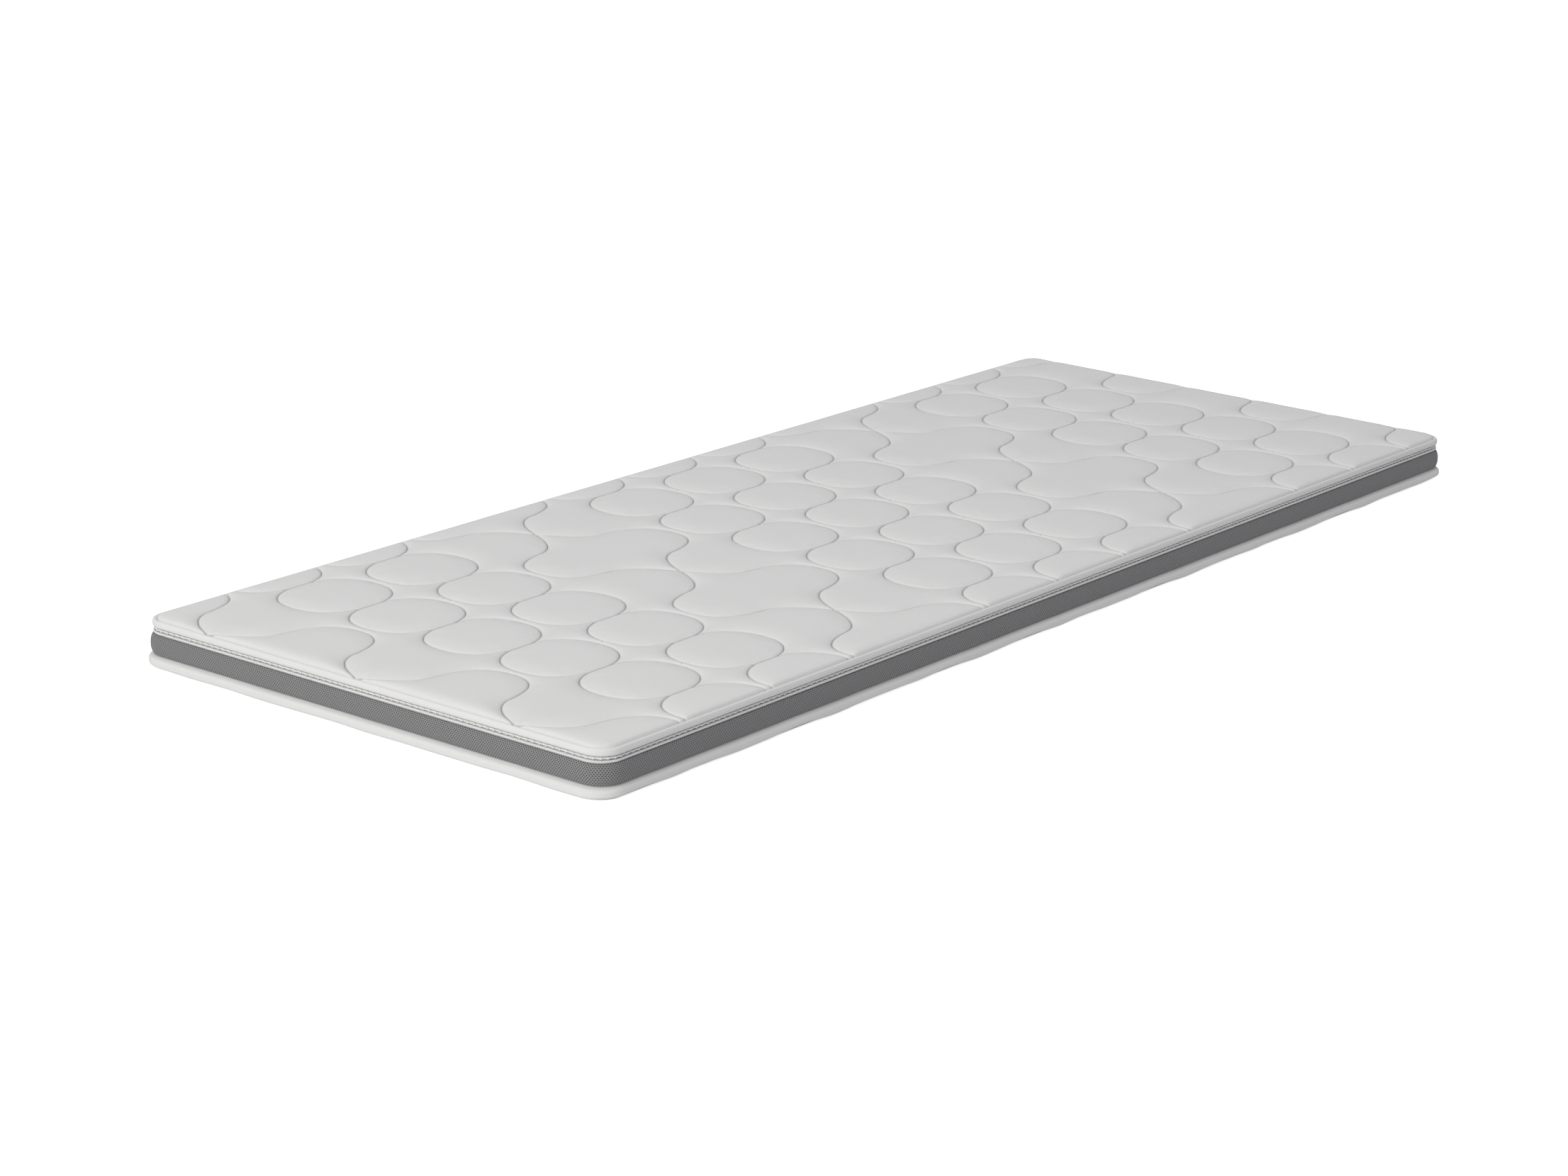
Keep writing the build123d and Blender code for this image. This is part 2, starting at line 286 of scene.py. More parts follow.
def repeat_along(name: str, run: Loop, shape: tuple[np.ndarray, np.ndarray], pitch: float,
                 keep: Optional[Callable[[np.ndarray], np.ndarray]] = None) -> bpy.types.Object:
    """Set copies of one small shape side by side round the cover.

    A copy's vertex is the run's point plus the shape's x along the run, y outwards and z upwards.

    Args:
        name: the piece's name.
        run: where the copies go.
        shape: the small shape's vertices and faces.
        pitch: the distance between copies, fitted so that a whole number goes round.
        keep: says from their plan points which copies stay.

    Returns:
        The new piece, all copies in one mesh.
    """
    template, faces = shape
    count = int(round(run.length / pitch))
    points, outward = run.at(np.arange(count) * run.length / count)
    if keep is not None:
        kept = keep(points)
        points, outward = points[kept], outward[kept]
    along = np.stack([-outward[:, 1], outward[:, 0]], axis=1)
    plan = (points[:, None, :] + along[:, None, :] * template[None, :, :1]
            + outward[:, None, :] * template[None, :, 1:2])
    heights = np.broadcast_to(template[None, :, 2:], (*plan.shape[:2], 1))
    vertices = np.concatenate([plan, heights], axis=2).reshape(-1, 3)
    shift = np.arange(len(points))[:, None, None] * len(template)
    return new_object(name, vertices, (faces[None] + shift).reshape(-1, faces.shape[1]))


def rod(spine: Sequence[tuple], radii: Sequence[float], sides: int = 6) -> tuple[np.ndarray, np.ndarray]:
    """A small bent rod with closed, pinched ends.

    Rings of points round the spine: a ring's centre plus its radius times cosine along one direction
    square to the spine and sine along the other. The end rings have almost no radius.

    Args:
        spine: x, y, z of each ring's centre.
        radii: each ring's radius.
        sides: points in a ring.

    Returns:
        Vertices and four-cornered faces.
    """
    centres = np.array(spine, float)
    ahead = np.gradient(centres, axis=0)
    ahead /= np.linalg.norm(ahead, axis=1, keepdims=True)
    guide = np.array([0.0, 1.0, 0.0]) if abs(ahead[:, 1]).max() < 0.9 else np.array([1.0, 0.0, 0.0])
    first = np.cross(guide, ahead)
    first /= np.linalg.norm(first, axis=1, keepdims=True)
    second = np.cross(ahead, first)
    angles = np.linspace(0, 2 * np.pi, sides, endpoint=False)
    rings = (centres[:, None, :] + np.array(radii)[:, None, None]
             * (np.cos(angles)[None, :, None] * first[:, None, :]
                + np.sin(angles)[None, :, None] * second[:, None, :]))
    return rings.reshape(-1, 3), grid_faces(len(centres), sides, False, True)[:, ::-1]


# ---------------------------------------------------------------- quilting
@dataclass(frozen=True)
class QuiltPattern:
    """The sewn pattern: columns of rounded cells, and between them zones of wide cells and bells."""

    pitch_x: float = 165 * MM
    pitch_y: float = 133 * MM
    wide_pitch: float = 290 * MM
    centre_x: float = 21 * MM
    centre_y: float = 14 * MM
    neck: float = 12 * MM
    crossing: float = 19 * MM
    roundness: float = 2.3
    step: float = 4 * MM

    def spaced(self, line: np.ndarray) -> np.ndarray:
        """Spread a line's points evenly, about one step apart.

        Args:
            line: plan points.

        Returns:
            Plan points on the same line.
        """
        lengths = np.linalg.norm(np.diff(line, axis=0), axis=1)
        travel = np.concatenate([[0.0], np.cumsum(lengths)])
        count = max(2, int(round(travel[-1] / self.step)) + 1)
        places = np.linspace(0, travel[-1], count)
        return np.stack([np.interp(places, travel, line[:, k]) for k in (0, 1)], axis=1)

    def cell_arc(self) -> np.ndarray:
        """A quarter of a small cell, from its side to where its flat top begins.

        A superellipse: across, half the width times one less cosine, and up, half the height times
        sine, both to the power two over the roundness, scaled to end at half the row's pitch.

        Returns:
            Points from the side, which is the origin.
        """
        half_width = (self.pitch_x - self.neck) / 2
        end = math.acos((self.crossing / half_width) ** (self.roundness / 2))
        turn = np.linspace(0, end, 60)
        across = half_width * (1 - np.cos(turn) ** (2 / self.roundness))
        up = np.sin(turn) ** (2 / self.roundness)
        return self.spaced(np.stack([across, up * self.pitch_y / 2 / up[-1]], axis=1))

    def wide_arc(self) -> np.ndarray:
        """A quarter of a wide cell, an S from its side to the middle of the next row's bell.

        Two cubic Bezier curves end to end, the second with the first's slope where they meet.

        Returns:
            Points from the side, which is the origin.
        """
        width = (self.wide_pitch - self.neck) / 2
        knots = np.array([[(0, 0), (0, 0.316), (0.193, 0.436), (0.524, 0.481)],
                          [(0.524, 0.481), (0.724, 0.504), (0.876, 0.692), (1, 1)]])
        share = np.linspace(0, 1, 40)[:, None]
        weights = ((1 - share) ** 3, 3 * (1 - share) ** 2 * share, 3 * (1 - share) * share ** 2, share ** 3)
        parts = [sum(weight * knot for weight, knot in zip(weights, part)) for part in knots]
        return self.spaced(np.vstack([parts[0], parts[1][1:]]) * (width, self.pitch_y))

    def rows(self, half_width: float) -> np.ndarray:
        """Heights across the panel of every row of cells that reaches it."""
        reach = int(half_width // self.pitch_y) + 1
        return self.centre_y + self.pitch_y * np.arange(-reach, reach + 1)

    def seams(self, half_width: float) -> list[np.ndarray]:
        """Every sewn line of the endless pattern near the panel.

        Args:
            half_width: half the panel's width.

        Returns:
            One array of plan points for each line.
        """
        group = 1.5 * self.pitch_x + self.wide_pitch
        offsets = [0, self.pitch_x, group + self.pitch_x / 2, group + 1.5 * self.pitch_x]
        columns = sorted({self.centre_x + side * offset for offset in offsets for side in (-1, 1)})
        wide = [1.5 * self.pitch_x + self.wide_pitch / 2, 3.5 * self.pitch_x + 1.5 * self.wide_pitch]
        small, large = self.cell_arc(), self.wide_arc()
        quarters = [(across, up) for across in (-1, 1) for up in (-1, 1)]
        lines = []
        for row_index, row in enumerate(self.rows(half_width)):
            for column in columns:
                side = (self.pitch_x - self.neck) / 2
                lines += [small * quarter + (column - quarter[0] * side, row) for quarter in quarters]
                flat = np.array([(-self.crossing, 0), (self.crossing, 0)])
                lines.append(self.spaced(flat + (column, row + self.pitch_y / 2)))
            reach = len(self.rows(half_width)) // 2
            if (row_index - reach) % 2:
                side = (self.wide_pitch - self.neck) / 2
                middles = [self.centre_x + sign * offset for offset in wide for sign in (-1, 1)]
                lines += [large * quarter + (middle - quarter[0] * side, row)
                          for middle in middles for quarter in quarters]
        return lines


def clipped(lines: list[np.ndarray], outline: Outline, inset: float) -> list[np.ndarray]:
    """Cut lines off where they cross the outline.

    The crossing lies between an inner and an outer point, in proportion to their depths.

    Args:
        lines: plan points of each line.
        outline: the cover's outline.
        inset: how far inwards it is moved.

    Returns:
        The stretches inside, with two or more points.
    """
    kept = []
    for line in lines:
        depth = outline.depth(line, inset)
        if depth.max() <= 0:
            continue
        if depth.min() > 0:
            kept.append(line)
            continue
        inside = np.flatnonzero(depth > 0)
        for group in np.split(inside, np.flatnonzero(np.diff(inside) > 1) + 1):
            stretch = [line[group]]
            for end, beyond in ((group[0], group[0] - 1), (group[-1], group[-1] + 1)):
                if 0 <= beyond < len(line):
                    share = depth[end] / (depth[end] - depth[beyond])
                    edge = (line[end] + (line[beyond] - line[end]) * share)[None]
                    stretch = [edge, *stretch] if beyond < end else [*stretch, edge]
            kept.append(np.vstack(stretch))
    return [line for line in kept if len(line) > 1]


def distance_to(points: np.ndarray, lines: list[np.ndarray], reach: float) -> np.ndarray:
    """The distance from points to the nearest of many lines.

    For each line only the points in its box, widened by reach, are measured: the nearest place on each
    straight part is the point's shadow on it, kept between the part's ends.

    Args:
        points: plan points, one row each.
        lines: plan points of each line.
        reach: the longest distance that matters.

    Returns:
        Distances, no longer than reach.
    """
    nearest = np.full(len(points), reach)
    order = np.argsort(points[:, 0])
    ordered = points[order]
    for line in lines:
        low, high = line.min(axis=0) - reach, line.max(axis=0) + reach
        first, last = np.searchsorted(ordered[:, 0], (low[0], high[0]))
        chosen = order[first:last]
        chosen = chosen[(points[chosen, 1] > low[1]) & (points[chosen, 1] < high[1])]
        if not len(chosen):
            continue
        start, part = line[:-1], np.diff(line, axis=0)
        offset = points[chosen][:, None, :] - start[None]
        share = np.clip((offset * part).sum(axis=2) / (part ** 2).sum(axis=1), 0, 1)
        gap = np.linalg.norm(offset - share[:, :, None] * part[None], axis=2).min(axis=1)
        nearest[chosen] = np.minimum(nearest[chosen], gap)
    return nearest


def hex_lattice(outline: Outline, pitch: float) -> np.ndarray:
    """Points of a triangular lattice over the whole outline, every second row moved by half a pitch.

    Args:
        outline: the cover's outline.
        pitch: the distance between neighbours.

    Returns:
        Plan points, some of them just outside the outline.
    """
    rise = pitch * math.sqrt(3) / 2
    x = np.arange(-outline.half_length, outline.half_length, pitch)
    y = np.arange(-outline.half_width, outline.half_width, rise)
    grid_x, grid_y = np.meshgrid(x, y)
    grid_x = grid_x + (np.arange(len(y)) % 2)[:, None] * pitch / 2
    return np.stack([grid_x.ravel(), grid_y.ravel()], axis=1)


@dataclass(frozen=True)
class Plan:
    """A triangulated panel in plan, and how far each vertex is from the seams and from the edge."""

    points: np.ndarray
    faces: np.ndarray
    to_seam: np.ndarray
    to_edge: np.ndarray
    edge_order: np.ndarray


def triangulated(outline: Outline, inset: float, seams: list[np.ndarray], beside_seams: Sequence[float],
                 beside_edge: Sequence[float], pitch: float, edge_step: float, reach: float) -> Plan:
    """Cover the outline's inside with triangles whose edges follow the seams.

    Rows of points run beside every seam and inside the edge, and a lattice fills the rest; a constrained
    Delaunay triangulation joins them.

    Args:
        outline: the cover's outline.
        inset: how far inside it the panel ends.
        seams: plan points of each sewn line.
        beside_seams: distances of the rows beside a seam.
        beside_edge: distances of the rows inside the edge.
        pitch: the lattice's pitch.
        edge_step: the distance between points along the edge.
        reach: the longest distance to a seam that matters.

    Returns:
        The panel in plan.
    """
    rim = outline.loop(edge_step, 14)
    edge = rim.inset(inset)
    seams = clipped(seams, outline, inset)
    rows = []
    for line in seams:
        ahead = np.gradient(line, axis=0)
        across = np.stack([-ahead[:, 1], ahead[:, 0]], axis=1)
        across /= np.linalg.norm(across, axis=1, keepdims=True)
        rows += [np.column_stack([line + side * away * across, np.full(len(line), away)])
                 for away in beside_seams for side in (-1, 1)]
    extra = np.vstack(rows) if rows else np.zeros((0, 3))
    clear = distance_to(extra[:, :2], seams, reach) > 0.8 * extra[:, 2]
    clear &= outline.depth(extra[:, :2], inset) > 0.6 * beside_edge[0]
    beside = extra[clear, :2]
    inner = np.vstack([rim.inset(inset + away) for away in beside_edge])
    inner = inner[distance_to(inner, seams, reach) > beside_seams[0] if beside_seams else slice(None)]
    lattice = hex_lattice(outline, pitch)
    lattice = lattice[outline.depth(lattice, inset) > beside_edge[-1] + pitch / 2]
    outermost = beside_seams[-1] if beside_seams else 0.0
    if seams:
        lattice = lattice[distance_to(lattice, seams, reach) > outermost + pitch / 2]
    chain, count = [edge], len(edge)
    edges = [(k, (k + 1) % count) for k in range(count)]
    for line in seams:
        chain.append(line)
        edges += [(count + k, count + k + 1) for k in range(len(line) - 1)]
        count += len(line)
    points = np.vstack([*chain, beside, inner, lattice])
    made, _, faces, _, _, _ = delaunay_2d_cdt(
        points.tolist(), edges, [list(range(len(edge)))], 1, 0.2 * MM)
    plan = np.array([(point[0], point[1]) for point in made])
    triangles = np.array([face for face in faces if len(face) == 3])
    sides = plan[triangles]
    turn = np.cross(sides[:, 1] - sides[:, 0], sides[:, 2] - sides[:, 0])
    triangles[turn < 0] = triangles[turn < 0][:, ::-1]
    return Plan(plan, triangles, distance_to(plan, seams, reach), outline.depth(plan, inset),
                rim_order(triangles))


def rim_order(triangles: np.ndarray) -> np.ndarray:
    """The vertices round a triangulation's rim, in order, turning left.

    A side that only one triangle has is a rim side; each leads from its first vertex to its second.

    Args:
        triangles: three vertex numbers a row, all turning left.

    Returns:
        Vertex numbers in order.
    """
    sides = np.vstack([triangles[:, (0, 1)], triangles[:, (1, 2)], triangles[:, (2, 0)]])
    key = np.sort(sides, axis=1)
    _, index, count = np.unique(key, axis=0, return_index=True, return_counts=True)
    rim = sides[index[count == 1]]
    follow = dict(rim.tolist())
    order = [int(rim[0, 0])]
    while follow[order[-1]] != order[0]:
        order.append(follow[order[-1]])
    return np.array(order)


# ---------------------------------------------------------------- shader node groups
class Board:
    """A node tree to draw on: nodes are added with their inputs, and their outputs are handed on."""

    def __init__(self, tree: bpy.types.NodeTree) -> None:
        """Keep the tree."""
        self.tree = tree

    def put(self, kind: str, inputs: Optional[dict] = None, **settings) -> bpy.types.Node:
        """Add a node.

        Args:
            kind: the node's type name.
            inputs: values or other nodes' outputs, by the input's name or number.
            settings: the node's own properties.

        Returns:
            The node.
        """
        node = self.tree.nodes.new(kind)
        for name, value in settings.items():
            setattr(node, name, value)
        for name, value in (inputs or {}).items():
            if isinstance(value, bpy.types.NodeSocket):
                self.tree.links.new(value, node.inputs[name])
            else:
                node.inputs[name].default_value = value
        return node

    def math(self, operation: str, first, second=0.0, third=0.0) -> bpy.types.NodeSocket:
        """The output of a Math node."""
        inputs = {0: first, 1: second, 2: third}
        return self.put("ShaderNodeMath", inputs, operation=operation).outputs[0]

    def noise(self, vector: bpy.types.NodeSocket, scale: float, detail: float = 2.0) -> bpy.types.NodeSocket:
        """The value of a Noise Texture, whose scale is features in a metre."""
        inputs = {"Vector": vector, "Scale": scale, "Detail": detail}
        return self.put("ShaderNodeTexNoise", inputs).outputs[0]

    def ramp(self, value: bpy.types.NodeSocket, low: float, high: float,
             new_low: float = 0.0, new_high: float = 1.0) -> bpy.types.NodeSocket:
        """A value moved smoothly from one range to another, and kept inside it."""
        inputs = {"Value": value, 1: low, 2: high, 3: new_low, 4: new_high}
        return self.put("ShaderNodeMapRange", inputs, interpolation_type="SMOOTHSTEP").outputs[0]

    def surface(self, shader: bpy.types.Node) -> None:
        """Lead a shader to the material's surface."""
        out = self.put("ShaderNodeOutputMaterial")
        self.tree.links.new(shader.outputs[0], out.inputs["Surface"])


def new_material(name: str) -> tuple[bpy.types.Material, Board]:
    """Start a material.

    Args:
        name: the material's name.

    Returns:
        The material, and a board on its empty node tree.
    """
    made = bpy.data.materials.new(name)
    made.use_nodes = True
    made.node_tree.nodes.clear()
    return made, Board(made.node_tree)


def new_group(name: str, inputs: dict, outputs: Sequence[str]) -> tuple[Board, dict, bpy.types.Node]:
    """Start a shader node group.

    Args:
        name: the group's name.
        inputs: each input's name and its first value; a value of None makes a vector input.
        outputs: names of the outputs, all plain values.

    Returns:
        A board on its tree, its inputs by name, and its output node.
    """
    tree = bpy.data.node_groups.new(name, "ShaderNodeTree")
    for label, value in inputs.items():
        kind = "NodeSocketVector" if value is None else "NodeSocketFloat"
        socket = tree.interface.new_socket(label, in_out="INPUT", socket_type=kind)
        if value is not None:
            socket.default_value = value
    for label in outputs:
        tree.interface.new_socket(label, in_out="OUTPUT", socket_type="NodeSocketFloat")
    board = Board(tree)
    entry = board.put("NodeGroupInput")
    return board, {label: entry.outputs[label] for label in inputs}, board.put("NodeGroupOutput")


def knit_group() -> bpy.types.NodeTree:
    """Jersey knit: columns of V-shaped stitches.

    A column's stitch is a sine of the length plus a slant away from the column's middle, under a round
    arch across the column.

    Returns:
        The group, with outputs Height and Shade; Shade is painted shade, darker where the stitch is low.
    """
    board, given, out = new_group("knit_stitches", {"Vector": None, "Stitch": 1.6 * MM}, ("Height", "Shade"))
    parts = board.put("ShaderNodeSeparateXYZ", {0: given["Vector"]})
    column = board.math("FRACT", board.math("DIVIDE", parts.outputs[0], given["Stitch"]))
    middle = board.math("ABSOLUTE", board.math("SUBTRACT", column, 0.5))
    length = board.math("DIVIDE", parts.outputs[1], board.math("MULTIPLY", given["Stitch"], 0.8))
    slanted = board.math("MULTIPLY_ADD", middle, 1.3, length)
    wave = board.math("SINE", board.math("MULTIPLY", slanted, 2 * math.pi))
    stitch = board.math("MULTIPLY_ADD", wave, 0.5, 0.5)
    arch = board.math("SINE", board.math("MULTIPLY", board.math("PINGPONG", middle, 0.25), 2 * math.pi))
    height = board.math("MULTIPLY", stitch, board.math("MULTIPLY_ADD", arch, 0.6, 0.4))
    board.tree.links.new(height, out.inputs["Height"])
    # painted shade: darker where the stitch is low
    board.tree.links.new(board.ramp(height, 0.0, 0.6, 0.94, 1.0), out.inputs["Shade"])
    return board.tree


def weave_group() -> bpy.types.NodeTree:
    """Plain weave: threads over and under, as the larger of two crossed rounded waves.

    Returns:
        The group, with outputs Height and Shade; Shade is painted shade, darker where the threads dip under.
    """
    board, given, out = new_group("plain_weave", {"Vector": None, "Thread": 0.6 * MM}, ("Height", "Shade"))
    parts = board.put("ShaderNodeSeparateXYZ", {0: given["Vector"]})
    turns = [board.math("MULTIPLY", board.math("DIVIDE", parts.outputs[k], given["Thread"]), math.pi)
             for k in (0, 1)]
    waves = [board.math("SINE", turn) for turn in turns]
    crossed = board.math("MULTIPLY", waves[0], waves[1])
    rounds = [board.math("ABSOLUTE", wave) for wave in waves]
    over = board.math("MAXIMUM", board.math("MULTIPLY_ADD", crossed, 0.5, rounds[0]),
                      board.math("MULTIPLY_ADD", crossed, -0.5, rounds[1]))
    height = board.math("MULTIPLY", over, 0.66)
    board.tree.links.new(height, out.inputs["Height"])
    # painted shade: darker where the threads dip under
    board.tree.links.new(board.ramp(height, 0.2, 1.0, 0.86, 1.0), out.inputs["Shade"])
    return board.tree


def fibre_group() -> bpy.types.NodeTree:
    """Loose fibres and the unevenness of cloth: fine noise for fuzz and broad noise for its tone.

    Returns:
        The group, with outputs Height and Shade, where Shade is near one.
    """
    board, given, out = new_group("fibres", {"Vector": None, "Unevenness": 0.03}, ("Height", "Shade"))
    fuzz = board.noise(given["Vector"], 900.0, 3.0)
    cloud = board.noise(given["Vector"], 9.0, 2.0)
    patch = board.noise(given["Vector"], 55.0, 3.0)
    tone = board.math("MULTIPLY_ADD", board.math("SUBTRACT", cloud, 0.5), 1.2,
                      board.math("SUBTRACT", patch, 0.5))
    shade = board.math("MULTIPLY_ADD", tone, given["Unevenness"], 1.0)
    board.tree.links.new(board.math("MULTIPLY_ADD", patch, 0.5, fuzz), out.inputs["Height"])
    board.tree.links.new(shade, out.inputs["Shade"])
    return board.tree


def cell_group() -> bpy.types.NodeTree:
    """Open foam: round pores of two sizes, as the distance to scattered points.

    Returns:
        The group, with outputs Height and Shade; Shade is painted shade, darker in the pores.
    """
    board, given, out = new_group("foam_cells", {"Vector": None, "Pore": 1.5 * MM}, ("Height", "Shade"))
    pores = []
    for share in (1.0, 0.45):
        size = board.math("MULTIPLY", given["Pore"], share)
        spread = board.math("DIVIDE", 1.0, size)
        pore = board.put("ShaderNodeTexVoronoi", {"Vector": given["Vector"], "Scale": spread})
        pores.append(board.ramp(pore.outputs["Distance"], 0.15, 0.5))
    height = board.math("MULTIPLY", pores[0], pores[1])
    board.tree.links.new(height, out.inputs["Height"])
    # painted shade: darker in the pores
    board.tree.links.new(board.ramp(height, 0.0, 1.0, 0.8, 1.0), out.inputs["Shade"])
    return board.tree


def hole_group() -> bpy.types.NodeTree:
    """Spacer mesh: staggered oval holes between threads.

    Every second row of holes is moved by half a pitch; a place's distance from its hole's middle, with
    the height stretched, says whether it is in the hole.

    Returns:
        The group, with outputs Height and Shade, both low in the holes; Shade is painted shade in the holes.
    """
    board, given, out = new_group("mesh_holes", {"Vector": None, "Pitch": 3.2 * MM}, ("Height", "Shade"))
    parts = board.put("ShaderNodeSeparateXYZ", {0: given["Vector"]})
    along = board.math("DIVIDE", parts.outputs[0], given["Pitch"])
    up = board.math("DIVIDE", parts.outputs[1], board.math("MULTIPLY", given["Pitch"], 0.62))
    stagger = board.math("MULTIPLY", board.math("MODULO", board.math("FLOOR", up), 2.0), 0.5)
    across = board.math("SUBTRACT", board.math("FRACT", board.math("ADD", along, stagger)), 0.5)
    rise = board.math("MULTIPLY", board.math("SUBTRACT", board.math("FRACT", up), 0.5), 0.72)
    radius = board.math("SQRT", board.math("ADD", board.math("MULTIPLY", across, across),
                                           board.math("MULTIPLY", rise, rise)))
    height = board.ramp(radius, 0.13, 0.3)
    board.tree.links.new(height, out.inputs["Height"])
    # painted shade: dark inside each hole
    board.tree.links.new(board.ramp(radius, 0.17, 0.3, 0.16, 1.0), out.inputs["Shade"])
    return board.tree


class Texture(Enum):
    """The surface textures, each one node group."""

    KNIT = "knit_stitches"
    WEAVE = "plain_weave"
    CELLS = "foam_cells"
    HOLES = "mesh_holes"
    FIBRES = "fibres"


def make_groups() -> None:
    """Build each shader node group once."""
    for build in (knit_group, weave_group, cell_group, hole_group, fibre_group):
        build()


# ---------------------------------------------------------------- finishes
@dataclass(frozen=True)
class Finish:
    """A surface's make-up: its colour, its texture and how it takes light."""

    name: str
    slot: str
    colour: tuple[float, float, float]
    texture: Texture
    size: float
    relief: float
    roughness: float = 0.9
    fuzz: float = 0.25
    unevenness: float = 0.03
    sheen: float = 0.0
    metallic: float = 0.0
    on_uv: bool = False
    # how much painted shade darkens the colour at the seams, where the creases lie in shade
    painted_seam_shade: float = 0.0

    def material(self) -> bpy.types.Material:
        """The finish as a material, made at its first use.

        The base colour is the finish's own, darkened by painted shade in its texture's low places, by its
        fibres' random tone, and by painted shade towards the seams on quilted pieces. The bump is the
        texture's height plus some fuzz.

        Returns:
            The material.
        """
        if self.name == self.slot:
            raise ValueError(f"{self.name}: a finish needs a name of its own, not the frame's slot's")
        found = bpy.data.materials.get(self.name)
        if found:
            return found
        made, board = new_material(self.name)
        groups = bpy.data.node_groups
        place = board.put("ShaderNodeTexCoord").outputs["UV" if self.on_uv else "Object"]
        pattern = board.put("ShaderNodeGroup", {"Vector": place, 1: self.size},
                            node_tree=groups[self.texture.value])
        fibres = board.put("ShaderNodeGroup", {"Vector": place, "Unevenness": self.unevenness},
                           node_tree=groups[Texture.FIBRES.value])
        # painted shade in the texture's low places (stitch valleys, threads' dips, pores, holes), times the
        # fibres' random tone
        shade = board.math("MULTIPLY", pattern.outputs["Shade"], fibres.outputs["Shade"])
        if self.painted_seam_shade:
            # painted shade in the seams' creases: the colour darkens within 1.8 mm of a seam
            away = board.put("ShaderNodeAttribute", attribute_name="to_seam").outputs["Fac"]
            near = board.ramp(away, 0.3 * MM, 1.8 * MM, 1.0 - self.painted_seam_shade, 1.0)
            shade = board.math("MULTIPLY", shade, near)
        colour = board.put("ShaderNodeMix", {
            "Factor": shade, 6: (0.0, 0.0, 0.0, 1.0), 7: (*self.colour, 1.0)}, data_type="RGBA")
        height = board.math("MULTIPLY_ADD", fibres.outputs["Height"], self.fuzz, pattern.outputs["Height"])
        bump = board.put("ShaderNodeBump", {"Height": height, "Distance": self.relief, "Strength": 0.6})
        shader = board.put("ShaderNodeBsdfPrincipled", {
            "Base Color": colour.outputs[2], "Roughness": self.roughness, "Metallic": self.metallic,
            "Sheen Weight": self.sheen, "Specular IOR Level": 0.25, "Normal": bump.outputs[0]})
        board.surface(shader)
        return made

    def dress(self, piece: bpy.types.Object) -> None:
        """Give a piece this finish."""
        piece.data.materials.clear()
        piece.data.materials.append(self.material())


# the quilt face darkens its colour by 0.27 along the seams: painted shade in the creases
QUILT_FACE = Finish("quilt_face_knit", "quilt_knit", (0.80, 0.80, 0.79), Texture.KNIT, 1.5 * MM, 0.12 * MM,
                    sheen=0.05, painted_seam_shade=0.27, unevenness=0.02)
EDGE_KNIT = Finish("edge_knit", "quilt_knit", (0.80, 0.80, 0.79), Texture.KNIT, 1.5 * MM, 0.12 * MM,
                   sheen=0.05, on_uv=True, unevenness=0.02)
BACKING = Finish("backing_cloth", "backing", (0.76, 0.76, 0.75), Texture.WEAVE, 0.8 * MM, 0.1 * MM)
SPACER_MESH = Finish("pierced_spacer_mesh", "spacer_mesh", (0.265, 0.265, 0.27), Texture.HOLES, 3.8 * MM,
                     0.6 * MM, roughness=0.75, on_uv=True, sheen=0.1)
LINING = Finish("band_lining_cloth", "band_lining", (0.76, 0.76, 0.75), Texture.WEAVE, 0.7 * MM, 0.1 * MM,
                on_uv=True)
THREAD = Finish("sewing_thread", "thread", (0.84, 0.84, 0.83), Texture.WEAVE, 0.4 * MM, 0.08 * MM,
                roughness=0.6)
ZIP_TAPE = Finish("zip_tape_weave", "zip_tape", (0.80, 0.80, 0.79), Texture.WEAVE, 0.9 * MM, 0.15 * MM,
                  on_uv=True)
ZIP_COIL = Finish("zip_coil_nylon", "zip_coil", (0.84, 0.84, 0.83), Texture.FIBRES, 0.02, 0.02 * MM,
                  roughness=0.45)
ZIP_METAL = Finish("zip_enamel", "zip_metal", (0.72, 0.72, 0.71), Texture.FIBRES, 0.02, 0.03 * MM,
                   roughness=0.35, metallic=0.3)
LABEL_SATIN = Finish("woven_label_satin", "label_satin", (0.86, 0.86, 0.85), Texture.WEAVE, 0.35 * MM,
                     0.05 * MM, roughness=0.5, sheen=0.2)
SLEEVE = Finish("knitted_sleeve_jersey", "sleeve_jersey", (0.80, 0.80, 0.785), Texture.KNIT, 1.9 * MM,
                0.2 * MM, sheen=0.05)
MEMORY_FOAM = Finish("memory_foam_cells", "memory_foam", (0.80, 0.765, 0.64), Texture.CELLS, 1.6 * MM,
                     0.5 * MM)
SUPPORT_FOAM = Finish("support_foam_cells", "support_foam", (0.70, 0.72, 0.745), Texture.CELLS, 2.2 * MM,
                      0.6 * MM)
GLUE = Finish("glue_film", "glue", (0.78, 0.70, 0.48), Texture.FIBRES, 0.05, 0.1 * MM, roughness=0.4)


def finish_piece(piece: bpy.types.Object, look: Finish, body: str, *nodes: str) -> bpy.types.Object:
    """Dress a piece, ride it on its body, let it stand for its frame nodes and report it.

    Args:
        piece: the new object.
        look: its finish.
        body: the body that it moves with.
        nodes: the frame nodes that it replaces.

    Returns:
        The same object.
    """
    look.dress(piece)
    if nodes:
        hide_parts(*nodes)
    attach(piece, body)
    log.info("%s: %d faces, on %s", piece.name, len(piece.data.polygons), body)
    return piece


